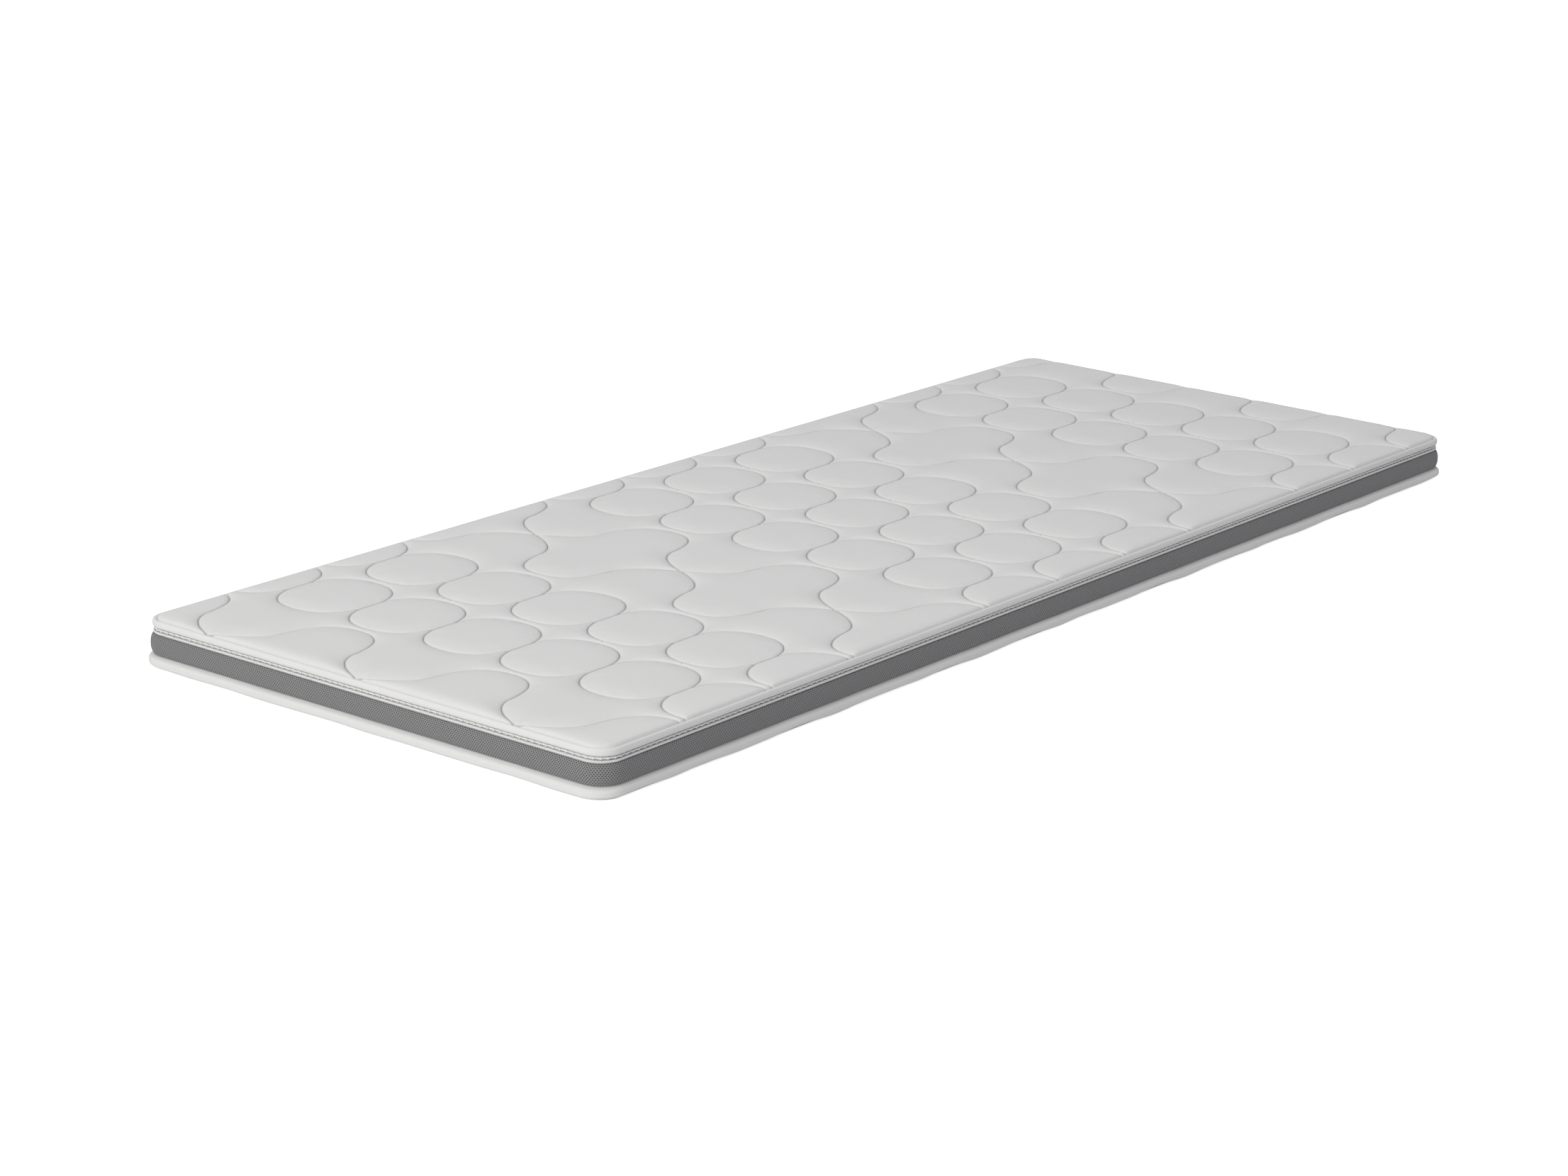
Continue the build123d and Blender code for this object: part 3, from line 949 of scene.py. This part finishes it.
# ---------------------------------------------------------------- quilted panels
@dataclass(frozen=True)
class QuiltedPanel:
    """One quilted panel of the cover: a padded face and the backing cloth behind it.

    Heights are measured outwards from the panel's back, so the same panel serves above and below.
    """

    name: str
    body: str
    face_nodes: tuple[str, ...]
    backing_node: str
    back: float
    outwards: int
    crown: float
    edge_height: float
    crease_inset: float = 9.2 * MM
    seam_height: float = 0.9 * MM
    seam_reach: float = 24 * MM
    fullness: float = 2.5
    edge_reach: float = 12 * MM
    backing_thickness: float = 0.6 * MM
    pitch: float = 7 * MM
    beside_seams: tuple[float, ...] = (0.9 * MM, 2.6 * MM, 6 * MM)
    blow: bool = True
    frames: int = 20
    pressure: float = 4.0
    furthest: float = 1.6 * MM
    held_within: float = 0.3 * MM
    lip_reach: float = 5 * MM
    lip_share: float = 0.6
    blend: float = 0.7 * MM

    def blown(self, plan: Plan, heights: np.ndarray) -> np.ndarray:
        """Blow the face up with cloth simulation, held at its seams and its edge.

        Only the heights are kept. Each moves by the furthest movement times the hyperbolic tangent of the
        cloth's own rise over it, so a small rise counts in full and a large one stops there.

        Args:
            plan: the panel in plan.
            heights: the face's height for each vertex.

        Returns:
            The new heights.
        """
        points = np.column_stack([plan.points, heights])
        cloth = new_object(f"{self.name}_cloth", points, plan.faces.tolist())
        held = np.flatnonzero(np.minimum(plan.to_seam, plan.to_edge) < self.held_within)
        cloth.vertex_groups.new(name="held").add(held.tolist(), 1.0, "REPLACE")
        modifier = cloth.modifiers.new("cloth", "CLOTH")
        modifier.settings.vertex_group_mass = "held"
        modifier.settings.use_pressure = True
        modifier.settings.uniform_pressure_force = self.pressure
        modifier.settings.effector_weights.gravity = 0.0
        modifier.settings.quality = 3
        modifier.collision_settings.use_collision = False
        modifier.point_cache.frame_start, modifier.point_cache.frame_end = 1, self.frames
        scene = bpy.context.scene
        for number in range(1, self.frames + 1):
            scene.frame_set(number)
        made = cloth.evaluated_get(bpy.context.evaluated_depsgraph_get()).data
        after = np.empty(len(points) * 3)
        made.vertices.foreach_get("co", after)
        scene.frame_set(1)
        bpy.data.objects.remove(cloth, do_unlink=True)
        rise = np.nan_to_num(after.reshape(-1, 3)[:, 2] - heights)
        log.info("%s: cloth moved %.2f mm at most, %.2f mm on average",
                 self.name, np.abs(rise).max() / MM, np.abs(rise).mean() / MM)
        return heights + self.furthest * np.tanh(rise / self.furthest)

    def face_heights(self, plan: Plan) -> np.ndarray:
        """The puffs' height over the seams.

        From a seam the height rises as a quarter of a superellipse squashed to the puff's size: one less
        the share of the reach that is left, raised to the fullness, and the whole to one over it. The
        edge has such an arc of its own, and the lower of the two counts, rounded where they meet. At the
        edge no seam is lower than a lip, which falls off as a bell curve of the distance.

        Args:
            plan: the panel in plan.

        Returns:
            A height for each vertex.
        """
        def arc(distance: np.ndarray, reach: float) -> np.ndarray:
            """A quarter arc from zero at the start to one at the reach."""
            return (1 - (1 - np.clip(distance / reach, 0, 1)) ** self.fullness) ** (1 / self.fullness)

        from_seam = arc(plan.to_seam, self.seam_reach) * (self.crown - self.seam_height)
        fall = np.exp(-(plan.to_edge / self.lip_reach) ** 2)
        lifted = (self.edge_height - self.seam_height) * fall * self.lip_share
        from_edge = (self.edge_height - self.seam_height
                     + arc(plan.to_edge, self.edge_reach) * (self.crown - self.edge_height))
        blended = -self.blend * np.log(np.exp(-from_seam / self.blend) + np.exp(-from_edge / self.blend))
        return self.seam_height + np.maximum(np.maximum(blended, 0), lifted)

    def smoothed(self, plan: Plan, heights: np.ndarray, rounds: int) -> np.ndarray:
        """Round off ridges away from the seams and the edge.

        Each round moves a vertex half way to the mean of its neighbours.

        Args:
            plan: the panel in plan.
            heights: a height for each vertex.
            rounds: how often to repeat it.

        Returns:
            The new heights.
        """
        sides = np.vstack([plan.faces[:, (0, 1)], plan.faces[:, (1, 2)], plan.faces[:, (2, 0)]])
        ends = np.concatenate([sides[:, 0], sides[:, 1]])
        others = np.concatenate([sides[:, 1], sides[:, 0]])
        number = np.bincount(ends, minlength=len(heights))
        seam_margin, edge_margin = 4 * MM, 3 * MM
        free = (plan.to_seam > seam_margin) & (plan.to_edge > edge_margin)
        for _ in range(rounds):
            mean = np.bincount(ends, heights[others], minlength=len(heights)) / number
            heights = np.where(free, (heights + mean) / 2, heights)
        return heights

    def closed(self, name: str, plan: Plan, outer: np.ndarray, inner: float) -> bpy.types.Object:
        """A solid panel: its quilted face, a short wall round its rim and a flat back.

        Args:
            name: the piece's name.
            plan: the panel in plan.
            outer: the face's height over the panel's back, for each vertex.
            inner: the flat side's height.

        Returns:
            The new piece.
        """
        rim = plan.edge_order
        z = self.back + self.outwards * np.concatenate([outer, np.full(len(rim), inner)])
        plan_points = np.vstack([plan.points, plan.points[rim]])
        vertices = np.column_stack([plan_points, z])
        low = np.arange(len(rim)) + len(plan.points)
        wall = np.stack([rim, low, np.roll(low, -1), np.roll(rim, -1)], axis=1)
        faces = [*plan.faces.tolist(), *wall.tolist(), low[::-1].tolist()]
        if self.outwards < 0:
            faces = [face[::-1] for face in faces]
        piece = new_object(name, vertices, faces)
        # to_seam drives the painted shade along the seams; the wall and back get the full reach, so they get
        # none
        set_values(piece, "to_seam", np.concatenate([plan.to_seam, np.full(len(rim), self.seam_reach)]))
        return piece

    def build(self, outline: Outline, pattern: QuiltPattern) -> None:
        """Make and dress the panel's face and its backing.

        Args:
            outline: the cover's outline.
            pattern: the sewn pattern.
        """
        seams = pattern.seams(outline.half_width)
        plan = triangulated(outline, self.crease_inset, seams, self.beside_seams,
                            (1.5 * MM, 4 * MM, 9 * MM), self.pitch, 4 * MM, self.seam_reach + 2 * MM)
        heights = self.smoothed(plan, self.face_heights(plan), 4)
        if self.blow:
            heights = self.blown(plan, heights)
        face = self.closed(f"{self.name}_quilt", plan, heights, self.backing_thickness + 0.1 * MM)
        finish_piece(face, QUILT_FACE, self.body, *self.face_nodes)

        rough = triangulated(outline, self.crease_inset, seams, (2.5 * MM, 7 * MM), (6 * MM,), 18 * MM,
                             10 * MM, self.seam_reach)
        outer = np.full(len(rough.points), self.backing_thickness)
        backing = self.closed(f"{self.name}_backing_cloth", rough, outer, 0.0)
        finish_piece(backing, BACKING, self.body, self.backing_node)


# ---------------------------------------------------------------- rolled edges
@dataclass(frozen=True)
class RolledEdge:
    """A panel's edge, rolled round wadding. Sections are outward distance and height."""

    name: str
    node: str
    body: str
    section: tuple[tuple[float, float], ...]
    ripple: float = 0.0
    lift: float = 0.0

    def build(self, run: Loop) -> None:
        """Carry the section round the cover, with soft waves in its height and bulge.

        The wave is a sum of three sines of the length, whole numbers of which go round. The lift raises
        the roll's underside with the wave, from nothing at its seam, and more on the long sides.

        Args:
            run: the outline's run.
        """
        section = smooth_section(self.section, 4)
        turn = 2 * np.pi * run.travel / run.length
        wave = np.sin(34 * turn + 0.6) + 0.7 * np.sin(21 * turn + 2.1) + 0.4 * np.sin(55 * turn)
        wave_span = 4.2  # twice the heights of the three sines together
        middle = section.mean(axis=0)
        swell = 1 + self.ripple * wave[:, None, None]
        sections = middle + (section - middle) * swell
        share = (0.45 + 0.55 * np.abs(run.outward[:, 1])) * (0.5 + wave / wave_span)
        under = np.clip(1 - section[:, 1] / middle[1], 0, 1) * np.clip(section[:, 0] / (8 * MM) + 0.9, 0, 1)
        sections[:, :, 1] = np.maximum(sections[:, :, 1] + self.lift * share[:, None] * under, 0)
        piece = sweep(self.name, run, sections)
        finish_piece(piece, EDGE_KNIT, self.body, self.node)


# ---------------------------------------------------------------- border band
@dataclass(frozen=True)
class BorderBand:
    """The grey mesh border, its lining, and the sewing below it."""

    low: float
    high: float
    seam_inset: float = 4 * MM
    bulge: float = 0.3 * MM
    depth: float = 1.3 * MM
    lining_inset: float = 5.7 * MM
    lining_thickness: float = 0.5 * MM
    stitch_pitch: float = 3.6 * MM

    def build(self, run: Loop) -> None:
        """Make the band, its lining and its stitches.

        Args:
            run: the outline's run.
        """
        height = self.high - self.low
        rise = np.linspace(0, 1, 13)
        outer = np.stack([self.bulge - self.seam_inset * np.abs(2 * rise - 1) ** 2.6,
                          self.low + height * rise], axis=1)
        inner = outer[::-1] - (self.depth, 0)
        section = np.vstack([outer, inner])
        band = sweep("border_mesh_band", run, section)
        finish_piece(band, SPACER_MESH, "lower_cover", "border_band")
        back = -self.lining_inset
        lining_section = np.array([(back, self.low + 0.3 * MM), (back, self.high - 0.2 * MM),
                                   (back - self.lining_thickness, self.high - 0.2 * MM),
                                   (back - self.lining_thickness, self.low + 0.3 * MM)])
        lining = sweep("border_lining", run, lining_section)
        finish_piece(lining, LINING, "lower_cover", "band_lining")
        self.build_stitches(run)

    def build_stitches(self, run: Loop) -> None:
        """Make the row of stitches between the band and the rolled edge, each a short slanted rod.

        Args:
            run: the outline's run.
        """
        half = 0.42 * self.stitch_pitch
        level = (node_low("bottom_seam_thread") + node_high("bottom_seam_thread")) / 2
        outward = outward_face("bottom_seam_thread") - 0.35 * MM
        spine = [(share * half, outward - 0.12 * MM * share ** 2, level + 0.12 * MM * share)
                 for share in (-1, -0.5, 0.5, 1)]
        shape = rod(spine, (0.05 * MM, 0.3 * MM, 0.3 * MM, 0.05 * MM), 5)
        piece = repeat_along("bottom_seam_stitches", run, shape, self.stitch_pitch)
        finish_piece(piece, THREAD, "lower_cover", "bottom_seam_thread")


# ---------------------------------------------------------------- zip fastener
def fit_between(vertices: np.ndarray, low: tuple[float, float], high: tuple[float, float]) -> np.ndarray:
    """Stretch a small shape's outward and height ranges to the given ones.

    A point's new place is the new least place, plus its share of the old range times the new range.

    Args:
        vertices: its points, as length, outward distance and height.
        low, high: the least and greatest outward distance and height.

    Returns:
        The new points.
    """
    least, most = np.array(low), np.array(high)
    start, reach = vertices[:, 1:].min(axis=0), np.ptp(vertices[:, 1:], axis=0)
    return np.column_stack([vertices[:, 0], least + (vertices[:, 1:] - start) / reach * (most - least)])


@dataclass(frozen=True)
class ZipFastener:
    """Two tapes with their rows of teeth, the tacks over the groove, and the metal parts.

    A tooth's radius and lean are shares of its pitch. Rods are drawn roughly to size, then fitted into the
    frame's coil.
    """

    tooth_pitch: float = 2.2 * MM
    tooth_radius: float = 0.58
    tooth_lean: float = 0.22
    tooth_depth: float = 1.9 * MM
    tooth_excess: float = 0.15 * MM
    tape_clearance: float = 0.1 * MM
    tack_pitch: float = 10.6 * MM
    tack_spread: float = 2.1
    tape_thickness: float = 0.6 * MM
    least_tape_width: float = 10 * MM
    garage_half: float = 10.2 * MM

    def tape(self, run: Loop, node: str, body: str) -> None:
        """Make one tape from its node's box, a thin upright strip round the cover.

        Args:
            run: the outline's run.
            node: the tape's frame node.
            body: the body that it moves with.
        """
        low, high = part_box(node)
        front = outward_face(node)
        back = front - self.tape_thickness
        section = np.array([(front, low.z), (front, high.z), (back, high.z), (back, low.z)])
        piece = finish_piece(sweep(f"{node}_woven", run, section), ZIP_TAPE, body, node)

    def teeth(self, run: Loop, node: str, body: str, outward_shift: float, side: int,
              keep: Optional[Callable[[np.ndarray], np.ndarray]] = None) -> None:
        """Make one row of coil teeth, each a bent rod that goes up, over and back.

        Args:
            run: the outline's run.
            node: the coil's frame node.
            body: the body that it moves with.
            outward_shift: how far the row is moved outwards.
            side: 1 where the teeth point up, and -1 where they point down.
            keep: which teeth stay.
        """
        low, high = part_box(node)
        front = outward_face(node) + outward_shift
        middle, half = (low.z + high.z) / 2, (high.z - low.z) / 2 + self.tooth_excess
        radius, lean = self.tooth_radius * self.tooth_pitch, self.tooth_lean * self.tooth_pitch
        bend = side * half * 0.75
        spine = [(-lean, front - self.tooth_depth, middle - side * half),
                 (-lean / 2, front - radius, middle - bend),
                 (lean / 2, front - radius, middle + bend),
                 (lean, front - self.tooth_depth, middle + side * half)]
        vertices, faces = rod(spine, (0.7 * radius, radius, radius, 0.7 * radius), 6)
        back = outward_face(node.replace("coil", "tape")) + self.tape_clearance
        fitted = fit_between(vertices, (back, low.z), (front, high.z))
        piece = repeat_along(f"{node}_teeth", run, (fitted, faces), self.tooth_pitch, keep)
        finish_piece(piece, ZIP_COIL, body, node)

    def tacks(self, run: Loop, keep: Callable[[np.ndarray], np.ndarray]) -> None:
        """Make the slanted tacks that sew the upper tape's edge, one at each wide pitch.

        Args:
            run: the outline's run.
            keep: which tacks stay.
        """
        low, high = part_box("upper_zip_coil")
        front = outward_face("upper_zip_coil")
        lean, radius = 0.7 * MM, 0.95 * MM
        spine = [(-lean, front - radius, low.z), (-lean * 0.7, front - radius, low.z + 0.5 * MM),
                 (lean * 0.7, front - radius, high.z - 0.8 * MM), (lean, front - radius, high.z - 0.2 * MM)]
        vertices, faces = rod(spine, (0.5 * radius, radius, radius, 0.4 * radius), 8)
        fitted = fit_between(vertices, (front - 2 * radius, low.z), (front, high.z))
        shape = (fitted * (self.tack_spread, 1, 1), faces)
        piece = repeat_along("groove_tacks", run, shape, self.tack_pitch, keep)
        finish_piece(piece, THREAD, "top_cover")

    def build(self, run: Loop) -> None:
        """Make the whole fastener.

        Args:
            run: the outline's run.
        """
        low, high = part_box("slider_body")
        park_x = (low.x + high.x) / 2

        def outside_garage(points: np.ndarray) -> np.ndarray:
            """Whether points are clear of the stretch where the slider parks."""
            return (points[:, 1] < 0) | (np.abs(points[:, 0] - park_x) > self.garage_half)

        self.tape(run, "lower_zip_tape", "lower_cover")
        self.tape(run, "upper_zip_tape", "top_cover")
        self.teeth(run, "lower_zip_coil", "lower_cover", 0.35 * MM, 1)
        self.teeth(run, "upper_zip_coil", "top_cover", -1.2 * MM, -1, outside_garage)
        self.tacks(run, outside_garage)
        for node in ("lower_end_stop", "upper_end_stop", "slider_body", "pull_tab"):
            ZIP_METAL.dress(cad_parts[node])
            log.info("%s: kept from the frame", node)


# ---------------------------------------------------------------- foam core
@dataclass(frozen=True)
class FoamCore:
    """Two glued foam layers in a jersey sleeve."""

    inset: float = 9 * MM
    edge_radius: float = 5 * MM
    wall: float = 0.8 * MM
    slack: float = 0.6 * MM
    glue_inset: float = 4 * MM

    def slab(self, name: str, outline: Outline, inset: float, low: float, high: float,
             radius: float, wave: float, pitch: float = 22 * MM) -> bpy.types.Object:
        """A closed slab with rounded edges and soft waves in its upper face.

        Over the last stretch before its edge the upper face falls as a quarter circle; the waves are
        sines of both plan directions, and the lower face mirrors the upper one's edge.

        Args:
            name: the piece's name.
            outline: the cover's outline.
            inset: how far inside it the slab ends.
            low, high: its lowest and highest heights.
            radius: its edges' radius.
            wave: the waves' height.
            pitch: its mesh's pitch.

        Returns:
            The new piece.
        """
        beside = tuple(radius * (1 - math.cos(turn)) for turn in np.radians((18, 36, 54, 72, 90)))
        plan = triangulated(outline, inset, [], (), beside, pitch, 12 * MM, 0.1)
        edge = radius * (1 - np.sqrt(1 - (1 - np.clip(plan.to_edge / radius, 0, 1)) ** 2))
        x, y = plan.points.T
        swell = wave * (np.sin(31 * x + 4 * y) * np.sin(23 * y) + 0.6 * np.sin(53 * x * y + 17 * x)) / 1.6
        middle = np.clip(plan.to_edge / (40 * MM), 0, 1)
        top = high - edge - wave * middle + swell * middle
        bottom = low + edge
        count = len(plan.points)
        rim = plan.edge_order
        vertices = np.vstack([np.column_stack([plan.points, top]), np.column_stack([plan.points, bottom])])
        wall = np.stack([rim, rim + count, np.roll(rim, -1) + count, np.roll(rim, -1)], axis=1)
        faces = [*plan.faces.tolist(), *(plan.faces[:, ::-1] + count).tolist(), *wall.tolist()]
        return new_object(name, vertices, faces)

    def build(self, outline: Outline) -> None:
        """Make the sleeve, the foam layers and the glue between them.

        Args:
            outline: the cover's outline.
        """
        low, high = node_low("inner_sleeve_lower"), node_high("inner_sleeve_upper")
        sleeve = self.slab("core_sleeve", outline, self.inset, low, high, self.edge_radius, 0.9 * MM)
        finish_piece(sleeve, SLEEVE, "foam_core", "inner_sleeve_lower", "inner_sleeve_upper")
        inner = self.inset + self.wall + self.slack
        for name, node, look in (("memory_foam_layer", "memory_foam", MEMORY_FOAM),
                                 ("support_foam_layer", "support_foam", SUPPORT_FOAM)):
            low, high = node_low(node) + 0.2 * MM, node_high(node) - 2.2 * MM
            foam = self.slab(name, outline, inner, low, high, 2 * MM, 0.2 * MM, 40 * MM)
            finish_piece(foam, look, "foam_core", node)
        glue_low, glue_high = node_low("glue_film"), node_high("glue_film")
        glue = self.slab("glue_layer", outline, inner + self.glue_inset, glue_low, glue_high,
                         0.15 * MM, 0.0, 60 * MM)
        finish_piece(glue, GLUE, "foam_core", "glue_film")


# ---------------------------------------------------------------- care label
@dataclass(frozen=True)
class CareLabel:
    """A blank folded label, sewn inside the border."""

    thickness: float = 0.35 * MM
    curl: float = 1.2 * MM

    def build(self) -> None:
        """Make the label as a thin sheet whose free end curls inwards.

        The sheet's height runs up its node's box, and its face moves in by the curl times the square of
        the height's share.
        """
        low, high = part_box("care_label")
        columns, rows = 25, 9
        along = np.linspace(low.x, high.x, columns)
        rise = np.linspace(0, 1, rows)
        grid_x, grid_rise = np.meshgrid(along, rise, indexing="ij")
        bend = self.curl * grid_rise ** 2 + 0.2 * MM * np.sin(grid_x * 160) * grid_rise
        front = np.stack([grid_x, high.y - bend, low.z + grid_rise * (high.z - low.z)], axis=-1)
        back = front - (0, self.thickness, 0)
        count = grid_x.size
        vertices = np.vstack([front.reshape(-1, 3), back.reshape(-1, 3)])
        sheet = grid_faces(columns, rows, False, False)
        last = (columns - 1) * rows
        rim = np.concatenate([np.arange(rows), np.arange(1, columns) * rows + rows - 1,
                              last + np.arange(rows - 2, -1, -1), np.arange(columns - 2, 0, -1) * rows])
        follow = np.roll(rim, -1)
        wall = np.stack([rim, rim + count, follow + count, follow], axis=1)
        faces = np.vstack([sheet[:, ::-1], sheet + count, wall[:, ::-1]])
        piece = new_object("blank_care_label", vertices, faces)
        finish_piece(piece, LABEL_SATIN, "lower_cover", "care_label")


# ---------------------------------------------------------------- studio
def placed(turn: np.ndarray, place: Sequence[float]) -> Matrix:
    """The matrix of an object with these three axes, one in each column, at this place."""
    return Matrix([[*turn[k], place[k]] for k in range(3)] + [[0, 0, 0, 1]])


@dataclass(frozen=True)
class Studio:
    """A pale floor, soft light and the camera."""

    eye: tuple[float, float, float] = (-4.0819, -3.1039, 1.5126)
    right: tuple[float, float, float] = (0.6250, -0.7804, 0.0180)
    up: tuple[float, float, float] = (0.2158, 0.1949, 0.9568)
    lens: float = 85.50
    floor_half: float = 30.0
    floor_drop: float = 0.4 * MM
    sky_colour: tuple[float, float, float, float] = (0.965, 0.972, 1.0, 1.0)
    sky_strength: float = 0.42

    def camera(self) -> None:
        """Set up the camera from its place and its right and up directions."""
        right, up = np.array(self.right), np.array(self.up)
        turn = np.stack([right, up, np.cross(right, up)], axis=1)
        data = bpy.data.cameras.new("studio_camera")
        data.lens, data.sensor_width, data.clip_end = self.lens, 36, 100
        camera = bpy.data.objects.new("studio_camera", data)
        camera.matrix_world = placed(turn, self.eye)
        bpy.context.scene.collection.objects.link(camera)
        bpy.context.scene.camera = camera

    def floor(self) -> None:
        """Lay a pale floor just under the mattress, bright enough to leave almost no shadow."""
        half, level = self.floor_half, -self.floor_drop
        corners = np.array([(-half, -half, level), (half, -half, level), (half, half, level),
                            (-half, half, level)])
        floor = new_object("studio_floor", corners, [(0, 1, 2, 3)], False)
        made, board = new_material("studio_floor_paper")
        grain = board.noise(board.put("ShaderNodeTexCoord").outputs["Object"], 40.0)
        tone = board.ramp(grain, 0.0, 1.0, 0.88, 0.92)
        colour = board.put("ShaderNodeCombineColor", {0: tone, 1: tone, 2: tone})
        seen = board.put("ShaderNodeLightPath").outputs["Is Camera Ray"]
        shader = board.put("ShaderNodeBsdfPrincipled", {
            "Base Color": colour.outputs[0], "Roughness": 1.0, "Specular IOR Level": 0.0,
            "Emission Color": (1.0, 1.0, 1.0, 1.0), "Emission Strength": board.math("MULTIPLY", seen, 0.75)})
        board.surface(shader)
        floor.data.materials.append(made)

    def light(self, name: str, place: tuple, aim: tuple, size: float, power: float,
              colour: tuple = (1.0, 1.0, 1.0)) -> None:
        """Hang one square soft light.

        Args:
            name: the light's name.
            place: where it hangs.
            aim: the point that it faces.
            size: its side.
            power: its power in watts.
            colour: its colour.
        """
        data = bpy.data.lights.new(name, "AREA")
        data.size, data.energy, data.color = size, power, colour
        lamp = bpy.data.objects.new(name, data)
        back = np.array(place, float) - np.array(aim, float)
        back /= np.linalg.norm(back)
        side = np.cross((0, 0, 1), back)
        side /= np.linalg.norm(side)
        turn = np.stack([side, np.cross(back, side), back], axis=1)
        lamp.matrix_world = placed(turn, place)
        bpy.context.scene.collection.objects.link(lamp)

    def build(self) -> None:
        """Set up the camera, floor, sky and lights."""
        self.camera()
        self.floor()
        sky = bpy.data.worlds.new("studio_sky")
        sky.use_nodes = True
        background = sky.node_tree.nodes["Background"]
        background.inputs["Color"].default_value = self.sky_colour
        background.inputs["Strength"].default_value = self.sky_strength
        bpy.context.scene.world = sky
        bpy.context.scene.view_settings.view_transform = "Standard"
        self.light("key_light", (-6.0, -0.6, 3.2), (0, 0, 0), 4.0, 200.0, (1.0, 0.985, 0.96))
        self.light("top_light", (0.5, 0.5, 5.0), (0, 0, 0), 5.0, 68.0)


def main() -> None:
    """Build the studio, then every part of the mattress from the outside in."""
    logging.basicConfig(level=logging.INFO, format="%(name)s: %(message)s")
    outline = Outline.from_frame()
    run = outline.loop()
    pattern = QuiltPattern()
    Studio().build()
    make_groups()

    top_back, top_crown = node_low("top_backing"), node_high("top_face_fabric")
    roll_crown, hem = node_high("top_rolled_edge"), node_low("top_rolled_edge")
    QuiltedPanel("top", "top_cover", ("top_face_fabric", "top_wadding"), "top_backing", top_back, 1,
                 top_crown - top_back + 0.6 * MM, roll_crown - top_back - 2.0 * MM).build(outline, pattern)
    bottom_back = node_high("bottom_backing")
    QuiltedPanel("bottom", "lower_cover", ("bottom_face_fabric", "bottom_wadding"), "bottom_backing",
                 bottom_back, -1, bottom_back, bottom_back - 0.6 * MM, pitch=12 * MM,
                 beside_seams=(1.2 * MM, 4 * MM, 9 * MM), blow=False).build(outline, pattern)

    RolledEdge("top_edge_roll", "top_rolled_edge", "top_cover", (
        (-5.4 * MM, hem), (-3.2 * MM, hem + 0.9 * MM), (-2.5 * MM, hem + 4.2 * MM),
        (-3.5 * MM, roll_crown - 0.9 * MM), (-5.8 * MM, roll_crown + 0.3 * MM),
        (-8.2 * MM, roll_crown - 0.9 * MM), (-9.1 * MM, roll_crown - 2.5 * MM),
        (-6.4 * MM, top_back), (-6.3 * MM, hem + 1 * MM)), 0.012).build(run)
    roll_top = node_high("bottom_rolled_edge")
    RolledEdge("bottom_edge_roll", "bottom_rolled_edge", "lower_cover", (
        (-8.9 * MM, 0.5 * MM), (-2.4 * MM, 0.2 * MM), (2.3 * MM, 2.4 * MM), (3.3 * MM, roll_top / 2),
        (2.1 * MM, roll_top - 3.2 * MM), (-4.3 * MM, roll_top - 0.1 * MM), (-6.1 * MM, roll_top - 1 * MM),
        (-6.3 * MM, bottom_back + 1 * MM), (-8.9 * MM, bottom_back - 0.4 * MM)), 0.02, 6.5 * MM).build(run)
    BorderBand(node_low("border_band"), node_high("border_band")).build(run)
    ZipFastener().build(run)
    FoamCore().build(outline)
    CareLabel().build()


if __name__ == "__main__":
    main()
